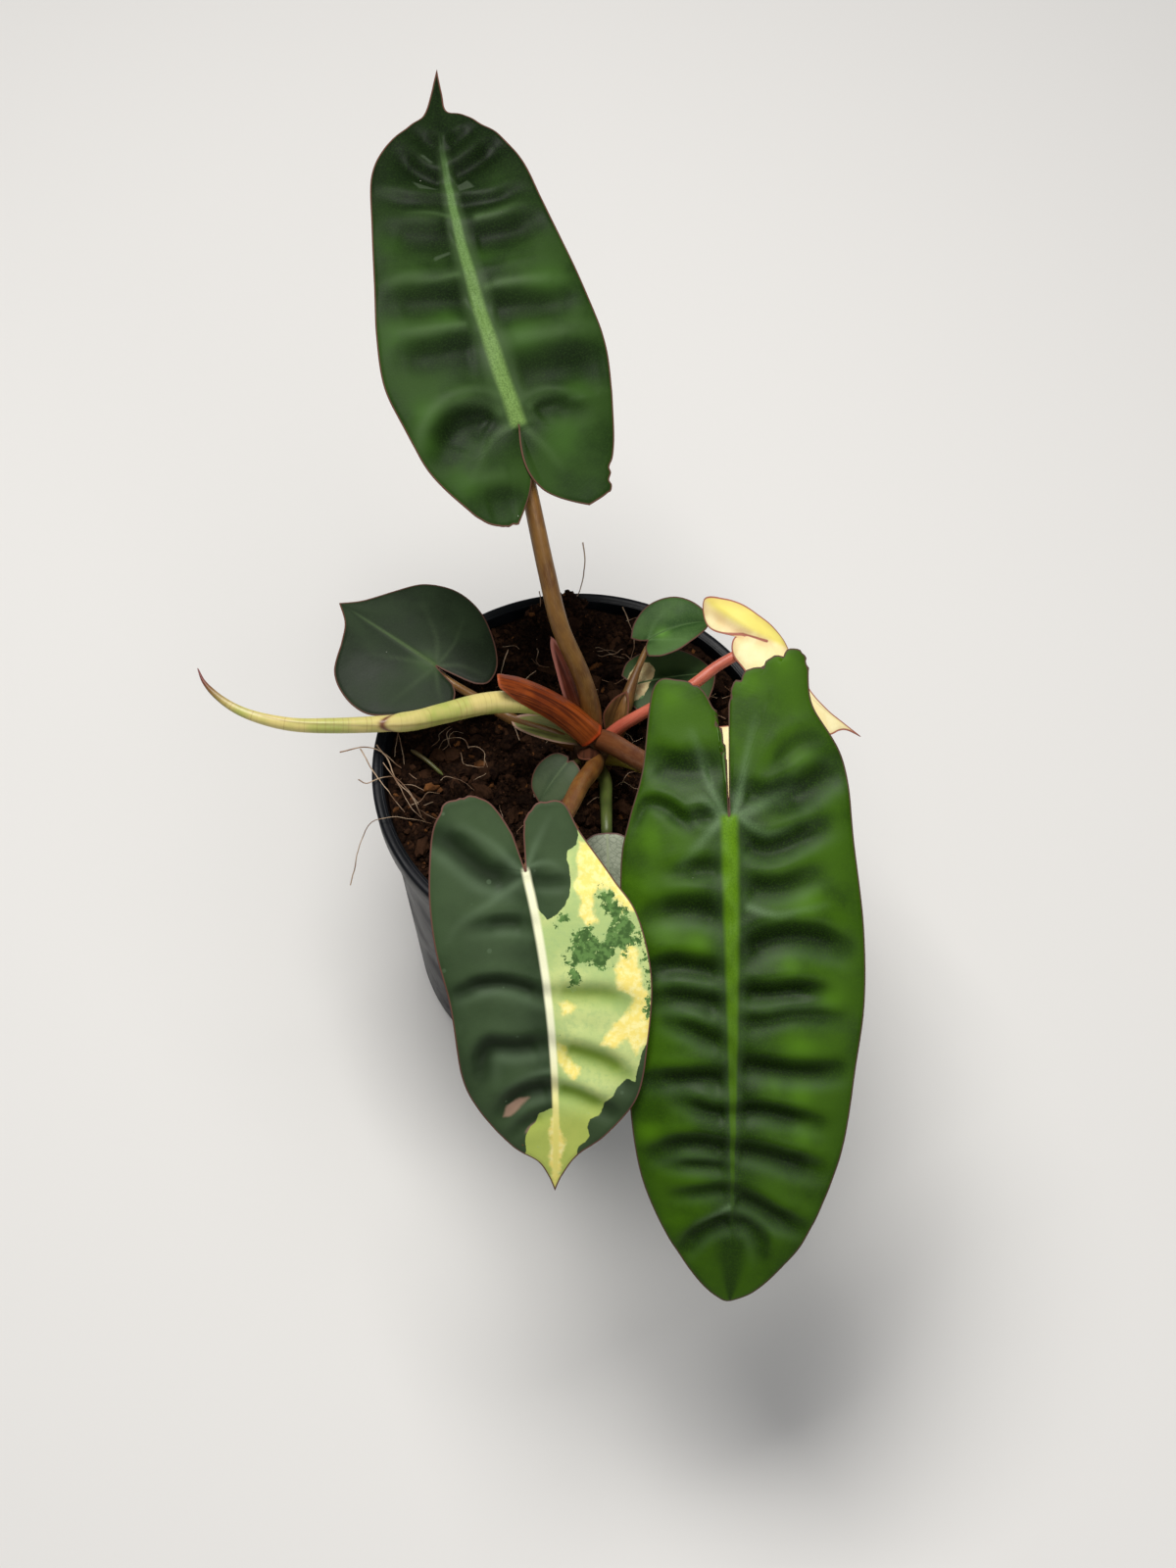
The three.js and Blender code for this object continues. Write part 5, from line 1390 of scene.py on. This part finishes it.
def barkSkin(name, look):
    material, tree, shader = bareMaterial(name, 0.75, 0.2)
    tone = objectPlace(tree).noise(260.0, detail=5.0, roughness=0.65)
    tone.between(0.35, 0.7).mix(look["dark"], look["light"]).to(shader["Base Color"])
    roughen(shader, tone, strength=0.6, distance=0.0006)
    return material


crown = makeCrown("crown", stem)
crown.data.materials.append(barkSkin("crownSkin", dict(dark=(0.05, 0.022, 0.01), light=(0.14, 0.07, 0.03))))
keep(crown, "stem", "stem")

# Pot

pot = dict(height=118, rimRadius=62.5, rimHeight=9, lip=3.6, shoulderRadius=59.4, footRadius=55.4, wall=1.2,
           floor=1.6, drainHoles=6, drainRadius=4.5, drainCircle=38, sides=200)


def wallRadius(z):
    share = z / (pot["height"] - pot["rimHeight"])
    return pot["footRadius"] + (pot["shoulderRadius"] - pot["footRadius"]) * share - pot["wall"]


def turnPot(name, spec):
    # The pot's wall turned from its profile, then drilled with drain holes
    top, rim, foot, shoulder = spec["height"], spec["rimRadius"], spec["footRadius"], spec["shoulderRadius"]
    band, inner, floor = top - spec["rimHeight"], rim - spec["lip"], spec["floor"]
    profile = [
        (0, 0), (foot - 9, 0), (foot - 8.4, 0.5), (foot - 3, 0.5), (foot - 2.4, 0), (foot - 0.9, 0),
        (foot - 0.2, 0.5), (foot, 1.3), (shoulder - 0.9, band - 22), (shoulder - 0.3, band - 21),
        (shoulder, band - 0.4), (shoulder + 0.3, band), (rim - 1, band + 0.4), (rim - 0.45, band + 0.9),
        (rim - 0.15, band + 1.8), (rim, top - 1.3), (rim - 0.12, top - 0.6), (rim - 0.5, top - 0.15),
        (rim - 1.0, top), (inner + 1.5, top - 0.05), (inner + 1.1, top - 0.3), (inner + 0.8, top - 0.3),
        (inner + 0.5, top - 0.05), (inner + 0.15, top - 0.15), (inner, top - 0.6), (inner - 0.2, top - 1.4),
        (wallRadius(top - 3), top - 3), (wallRadius(floor + 1), floor + 1), (wallRadius(floor) - 1, floor),
        (0, floor),
    ]
    sides = spec["sides"]
    points = [(0, 0, profile[0][1])]
    points += [(radius * x, radius * y, z) for radius, z in profile[1:-1] for x, y in circle(sides)]
    points.append((0, 0, profile[-1][1]))
    piece = meshFrom(name, points, turnedFaces(len(profile) - 2, sides, flip=True))
    drill = bmesh.new()
    for x, y in circle(spec["drainHoles"]):
        middle = Vector((spec["drainCircle"] * x, spec["drainCircle"] * y, 0)) * mm
        bmesh.ops.create_cone(drill, cap_ends=True, segments=32, radius1=spec["drainRadius"] * mm,
                              radius2=spec["drainRadius"] * mm, depth=12 * mm,
                              matrix=Matrix.Translation(middle))
    cutter = addPiece("drill", bpy.data.meshes.new("drill"))
    drill.to_mesh(cutter.data)
    drill.free()
    cut = piece.modifiers.new("drain", "BOOLEAN")
    cut.object = cutter
    cut.operation = "DIFFERENCE"
    cut.solver = "EXACT"
    bakeMesh(piece)
    bpy.data.objects.remove(cutter)
    piece.data.shade_smooth()
    piece.data.set_sharp_from_angle(angle=math.radians(35))
    return piece


def plasticSkin(name, look):
    # Black moulded plastic, a little dusty and scuffed
    material, tree, shader = bareMaterial(name, 0.45, 0.14)
    place = objectPlace(tree)
    scuffs = place.noise(45.0, detail=6.0, roughness=0.65, distortion=0.6)
    colour = scuffs.between(0.45, 0.75).mix(look["black"], look["worn"])
    dust = speckle(place, spacing=0.003, radius=0.00012, share=0.5)
    (dust * 0.5).mix(colour, look["dust"]).to(shader["Base Color"])
    scuffs.between(0.4, 0.7, 0.38, 0.58).to(shader["Roughness"])
    roughen(shader, place.noise(900.0, detail=2.0), strength=0.15, distance=0.0002)
    return material


potPiece = turnPot("nursery_pot", pot)
potPiece.data.materials.clear()
potPiece.data.materials.append(plasticSkin("potPlastic", dict(
    black=(0.004, 0.005, 0.007), worn=(0.011, 0.011, 0.015), dust=(0.14, 0.1, 0.07))))
keep(potPiece, "pot_plastic", "pot")
print("pot turned")

# Soil

soil = dict(level=112, mound=3, moundSpread=500, rings=110, sides=240, rough=2.6, grain=0.2, back=2.4,
            backFrom=12, backOver=25, heap=(-5, 51), heapHeight=12, heapSpread=60)


def soilHeight(x, y):
    # Higher round the stem, towards the back and in a heap at the rim
    mound = soil["mound"] * math.exp(-((x - stem["x"]) ** 2 + (y - stem["y"]) ** 2) / soil["moundSpread"])
    heapX, heapY = soil["heap"]
    heap = soil["heapHeight"] * math.exp(-((x - heapX) ** 2 + (y - heapY) ** 2) / soil["heapSpread"])
    back = soil["back"] * min(1, max(0, (y - soil["backFrom"]) / soil["backOver"]))
    return soil["level"] + mound + heap + back


def makeBed(name, spec):
    # The body of the soil; each point of its top holds how far it is from the wall
    sides, rings = spec["sides"], spec["rings"]
    edge = wallRadius(spec["level"]) - 0.2
    points, ground = [(0, 0, soilHeight(0, 0) - 0.5)], [edge]
    for ring in range(1, rings + 1):
        radius = edge * ring / rings
        for across, along in circle(sides):
            x, y = radius * across, radius * along
            place = Vector((x * spec["grain"], y * spec["grain"], 5.0))
            rough = noise.fractal(place, 0.8, 2.2, 5) * spec["rough"]
            rough *= 0.4 + 0.6 * min(1, (edge - radius) / 4)
            points.append((x, y, soilHeight(x, y) - 0.6 + rough))
            ground.append(edge - radius)
    low, foot = wallRadius(pot["floor"] + 1) - 0.6, pot["floor"] + 0.4
    for radius, z in ((edge, spec["level"] - 4), (low, foot)):
        points += [(radius * x, radius * y, z) for x, y in circle(sides)]
    points.append((0, 0, foot))
    ground += [-1.0] * (2 * sides + 1)
    return meshFrom(name, points, turnedFaces(rings + 2, sides), {"ground": ground})


def soilSkin(name, look):
    material, tree, shader = bareMaterial(name, 0.95, 0.05)
    place, tint = objectPlace(tree), attributeOf(tree, "tint")
    grain = place.noise(900.0, detail=5.0, roughness=0.7)
    clumps = place.noise(120.0, detail=4.0, roughness=0.6)
    colour = grain.between(0.35, 0.7).mix(look["dark"], look["light"])
    colour = tint.between(0.55, 0.8).mix(colour, look["brown"])
    colour = tint.between(0.94, 0.98).mix(colour, look["orange"])
    clumps.between(0.45, 0.65, 0.0, 0.6).mix(colour, look["deep"]).to(shader["Base Color"])
    roughen(shader, grain, strength=0.8, distance=0.0007)
    return material


def makeChips(count, level, seed):
    # Loose shapes to scatter: broken bark, flat and angular
    draw = random.Random(seed)
    shapes = bpy.data.collections.new(f"chips{seed}")
    for i in range(count):
        shape = bmesh.new()
        bmesh.ops.create_icosphere(shape, subdivisions=level, radius=1.0)
        size = Vector((draw.uniform(0.8, 1.4), draw.uniform(0.5, 0.9), draw.uniform(0.35, 0.7)))
        shift = Vector((draw.uniform(0, 9), draw.uniform(0, 9), draw.uniform(0, 9)))
        for vertex in shape.verts:
            wobble = 1 + 0.5 * noise.noise(vertex.co * 1.3 + shift)
            vertex.co = Vector([a * b * wobble for a, b in zip(vertex.co, size)])
        mesh = bpy.data.meshes.new(f"chip{seed}_{i}")
        shape.to_mesh(mesh)
        shape.free()
        shapes.objects.link(bpy.data.objects.new(mesh.name, mesh))
    return shapes


def makeScatterTree():
    # Strews shapes over the ground, in many sizes and turns, clear of the wall
    tree, given, give = newNodes("strewChips", {
        "Chips": ("Collection", None), "Density": ("Float", 100000.0), "Smallest": ("Float", 0.0005),
        "Largest": ("Float", 0.0015), "Sink": ("Float", 0.0003), "Clear": ("Float", 1.0), "Seed": ("Int", 1),
    })
    chosen = named(tree, "ground").calc("GREATER_THAN", given["Clear"])
    spots = field(tree, "GeometryNodeDistributePointsOnFaces", {
        "Mesh": given["Geometry"], "Selection": chosen, "Density": given["Density"], "Seed": given["Seed"]},
        "Points")
    shapes = field(tree, "GeometryNodeCollectionInfo", {
        "Collection": given["Chips"], "Separate Children": True, "Reset Children": True})
    turn = field(tree, "FunctionNodeRandomValue", {
        "Min": (-0.7, -0.7, 0.0), "Max": (0.7, 0.7, 2 * math.pi), "Seed": 5}, data_type="FLOAT_VECTOR")

    def draw(seed):
        return field(tree, "FunctionNodeRandomValue", {"Min": 0.0, "Max": 1.0, "Seed": seed}, 1,
                     data_type="FLOAT")

    size = draw(6).calc("POWER", 2.2).between(0.0, 1.0, given["Smallest"], given["Largest"], "LINEAR")
    placed = field(tree, "GeometryNodeInstanceOnPoints", {
        "Points": spots, "Instance": shapes, "Pick Instance": True, "Scale": size,
        "Rotation": field(tree, "FunctionNodeEulerToRotation", {"Euler": turn})})
    placed = field(tree, "GeometryNodeTranslateInstances", {
        "Instances": placed, "Translation": combine(tree, z=given["Sink"] * -1.0), "Local Space": False})
    placed = store(placed, "tint", draw(7), domain="INSTANCE")
    return closeTree(placed, given, give, smooth=False)


bed = makeBed("soil_bed", soil)
earth = soilSkin("soilMix", dict(
    dark=(0.006, 0.003, 0.0022), light=(0.036, 0.017, 0.009), brown=(0.05, 0.023, 0.012),
    orange=(0.15, 0.06, 0.02), deep=(0.006, 0.003, 0.002)))
bed.data.materials.append(earth)
scatter = makeScatterTree()


def makeClod(name, spec):
    # A lump of soil that stands at the rim beside the tall stalk
    shape = bmesh.new()
    bmesh.ops.create_icosphere(shape, subdivisions=5, radius=1.0)
    for vertex in shape.verts:
        lumps = 1 + 0.75 * noise.fractal(vertex.co * 1.5 + Vector((4, 1, 2)), 0.8, 2.1, 5)
        vertex.co = Vector([a * b * lumps + c for a, b, c in zip(vertex.co, spec["size"], spec["place"])]) * mm
    mesh = bpy.data.meshes.new(name)
    shape.to_mesh(mesh)
    shape.free()
    mesh.shade_smooth()
    layer = mesh.attributes.new("ground", "FLOAT", "POINT")
    layer.data.foreach_set("value", [spec["size"][0]] * len(mesh.vertices))
    mesh.materials.append(earth)
    return addPiece(name, mesh)


def strew(name, base, chips, spec):
    # Loose bits over the ground, from a set of shapes that isn't needed afterwards
    piece = addPiece(name, base.data.copy())
    settle(piece, scatter, {
        "Chips": chips, "Material": earth, "Density": spec["density"], "Smallest": spec["smallest"] * mm,
        "Largest": spec["largest"] * mm, "Sink": spec["sink"] * mm, "Clear": spec["clear"],
        "Seed": spec["seed"]})
    for shape in list(chips.objects):
        bpy.data.objects.remove(shape)
    bpy.data.collections.remove(chips)
    keep(piece, "soil")


clodForm = dict(place=(-5, 52.5, 119.5), size=(7, 4, 8))
clod = makeClod("soil_clod", clodForm)
keep(bed, "soil", "soil")
keep(clod, "soil")
loose = {
    "soil_chips": dict(base=bed, shapes=dict(count=6, level=2, seed=21), density=95000.0, smallest=1.0,
                       largest=3.9, sink=0.3, clear=4.5, seed=3),
    "soil_crumbs": dict(base=bed, shapes=dict(count=5, level=1, seed=22), density=560000.0, smallest=0.4,
                        largest=1.15, sink=0.0, clear=1.5, seed=4),
    "clod_crumbs": dict(base=clod, shapes=dict(count=5, level=1, seed=23), density=900000.0, smallest=0.5,
                        largest=1.5, sink=0.0, clear=0.0, seed=5),
}
for name, spec in loose.items():
    strew(name, spec["base"], makeChips(**spec["shapes"]), spec)
print("soil strewn")

# Fine roots on the soil and over the rim

def makeRootTree():
    # A thin wavering tube along each line of points
    tree, given, give = newNodes("rootThreads", {
        "Thickness": ("Float", 0.00022), "Waver": ("Float", 0.0008), "Waver Scale": ("Float", 160.0)})
    curve = field(tree, "GeometryNodeMeshToCurve", {"Mesh": given["Geometry"]})
    place = field(tree, "GeometryNodeInputPosition")
    sway = place.noise(given["Waver Scale"], detail=2.0, output="Color")
    sway = vectorCalc("SUBTRACT", sway, (0.5, 0.5, 0.5))
    curve = move(curve, vectorCalc("SCALE", sway, scale=given["Waver"]))
    ring = field(tree, "GeometryNodeCurvePrimitiveCircle", {"Resolution": 6, "Radius": 1.0})
    curve = store(curve, "share", field(tree, "GeometryNodeSplineParameter", output="Factor"))
    taper = named(tree, "share").between(0.0, 1.0, 1.0, 0.45, "LINEAR")
    tube = field(tree, "GeometryNodeCurveToMesh", {
        "Curve": curve, "Profile Curve": ring, "Scale": given["Thickness"] * taper * named(tree, "weight"),
        "Fill Caps": True})
    return closeTree(tube, given, give)


rootTree = makeRootTree()

roots = dict(
    thickness=0.17, waver=1.2, waverScale=170.0, seed=9, loose=80, reach=54, bound=56, inward=0.93,
    joints=5, steps=(1.5, 4), turning=0.9, lift=(0.2, 2.6), weights=(0.5, 1.0),
    lines=[
        # over the rim on the left
        ([(-72, 2.5, 121), (-66, 4, 121), (-60.5, 4.2, 119.5), (-55, 1, 116), (-49, -3, 114)], 1.5),
        ([(-66, 3.7, 120.6), (-64, 0, 120.4), (-61, -4, 119.3), (-58, -8, 117.5), (-52, -15, 115)], 1.3),
        ([(-66, -6, 119), (-63.5, -7.5, 119.4), (-60, -5.5, 119), (-55, -4, 116), (-48, -12, 114.5)], 1.2),
        ([(-61, 6, 119.2), (-57.5, 1, 118.8), (-55, -5, 117), (-50, -10, 115.5), (-47, -16, 114)], 1.4),
        ([(-68, -36, 108), (-64, -24, 117), (-60, -20, 119.6), (-50, -19, 118.3), (-44, -19, 115)], 1.1),
        ([(-59, 0, 119), (-54, -7, 117), (-50, -14, 116), (-46, -18, 115)], 1.0),
        ([(-62.5, 25, 118.8), (-58, 18, 118.3), (-54, 8, 116.5), (-53, 2, 114)], 1.3),
        ([(-52, 20, 121), (-55, 12, 117), (-56, 4, 115)], 1.2),
        # behind
        ([(1.5, 68, 137), (2, 62, 131), (0, 56, 127), (-5, 51, 124), (-7, 48, 122)], 1.3),
        ([(-6, 50, 124), (-3.5, 47, 120), (-4, 42, 118), (-7, 40, 115)], 1.3),
        ([(-12, 56, 128), (-12, 52, 124), (-13, 50, 122)], 1.0),
        ([(-9, 57, 127), (-11, 52, 123.5)], 1.2),
        ([(-22, 42, 116), (-24, 34, 116), (-24, 26, 115.5), (-20, 16, 115), (-18, 10, 115)], 1.1),
        ([(-13, 33, 118), (-17, 30, 116), (-18, 26, 115), (-22, 21, 114)], 1.0),
        ([(-4, 29.5, 117), (0, 27.5, 116.5), (6, 27.5, 116)], 1.4),
        ([(14, 55, 121), (16, 50, 119), (17.5, 44, 117), (16, 38, 115)], 1.1),
        ([(24, 49, 119.5), (20, 52, 119.5), (15, 51, 119)], 1.0),
    ],
)


def threadRoots(name, spec):
    # The roots that are given, and loose ones that wander over the soil within the wall
    draw = random.Random(spec["seed"])
    lines = list(spec["lines"])
    for _ in range(spec["loose"]):
        turn, far = draw.uniform(0, 2 * math.pi), spec["reach"] * math.sqrt(draw.uniform(0.05, 1))
        x, y, way = far * math.cos(turn), far * math.sin(turn), draw.uniform(0, 2 * math.pi)
        line = []
        for _ in range(spec["joints"]):
            line.append((x, y, soilHeight(x, y) + draw.uniform(*spec["lift"])))
            way += draw.uniform(-spec["turning"], spec["turning"])
            step = draw.uniform(*spec["steps"])
            x, y = x + step * math.cos(way), y + step * math.sin(way)
            if math.hypot(x, y) > spec["bound"]:
                x, y = x * spec["inward"], y * spec["inward"]
        lines.append((line, draw.uniform(*spec["weights"])))
    points, edges, weights = [], [], []
    for line, weight in lines:
        start = len(points)
        points += curveThrough(line, 26, alpha=0.5).tolist()
        edges += [(i, i + 1) for i in range(start, len(points) - 1)]
        weights += [weight] * (len(points) - start)
    return meshFrom(name, points, [], {"weight": weights}, edges=edges)


def rootSkin(name, look):
    material, tree, shader = bareMaterial(name, 0.6, 0.3)
    tone = objectPlace(tree).noise(140.0).between(0.4, 0.62)
    tone.mix(look["dark"], look["light"]).to(shader["Base Color"])
    return material


rootPiece = threadRoots("root_threads", roots)
settle(rootPiece, rootTree, {
    "Thickness": roots["thickness"] * mm, "Waver": roots["waver"] * mm, "Waver Scale": roots["waverScale"],
    "Material": rootSkin("rootFibre", dict(dark=(0.2, 0.11, 0.06), light=(0.5, 0.36, 0.24)))})
keep(rootPiece, "soil")
cutStalk = dict(path=[[-51, 6, 116], [-46, 2, 116.5], [-41, -2.5, 115.5]], sizes=[[0.7, 0.7], [0.6, 0.6]],
                sides=10)
growStalk("cut_stalk", cutStalk["path"], cutStalk["sizes"], "petiole_green", stalkGreen,
          sides=cutStalk["sides"])
print("roots threaded")

# Floor, light and camera

floorMesh = bpy.data.meshes.new("floor")
floorMesh.from_pydata([(-4, -4, 0), (4, -4, 0), (4, 4, 0), (-4, 4, 0)], [], [(0, 1, 2, 3)])
floorPiece = addPiece("floor", floorMesh)
floorMaterial, _, floorShader = bareMaterial("paleFloor", 0.8, 0.2)
floorShader["Base Color"].default_value = (0.72, 0.71, 0.69, 1)
floorMesh.materials.append(floorMaterial)

studio = dict(
    world=(0.9, 0.93, 1.0, 1), worldStrength=0.2, aim=(0, 0, 0.13),
    lights=[
        dict(place=(-0.15, 0.28, 1.1), size=0.5, power=12.0, colour=(1.0, 0.98, 0.95)),
        dict(place=(0.35, -0.7, 0.85), size=0.7, power=3.5, colour=(1.0, 0.98, 0.96)),
    ],
)
world = bpy.data.worlds.new("studio")
world.use_nodes = True
background = world.node_tree.nodes["Background"].inputs
background["Color"].default_value = studio["world"]
background["Strength"].default_value = studio["worldStrength"]
scene.world = world
for i, lamp in enumerate(studio["lights"]):
    data = bpy.data.lights.new(f"softbox{i}", "AREA")
    data.shape = "SQUARE"
    data.size = lamp["size"]
    data.energy = lamp["power"]
    data.color = lamp["colour"]
    light = addPiece(f"softbox{i}", data)
    light.location = lamp["place"]
    light.rotation_euler = (Vector(studio["aim"]) - light.location).to_track_quat("-Z", "Y").to_euler()

camera = dict(place=(0.003, -0.325, 0.6917), lens=50.0, sensor=36.0, elevation=61.0)
cameraData = bpy.data.cameras.new("camera")
cameraData.lens = camera["lens"]
cameraData.sensor_width = camera["sensor"]
cameraPiece = addPiece("camera", cameraData)
cameraPiece.location = camera["place"]
cameraPiece.rotation_euler = (math.radians(90 - camera["elevation"]), 0, 0)
scene.camera = cameraPiece
scene.view_settings.view_transform = "Standard"
print("studio ready")
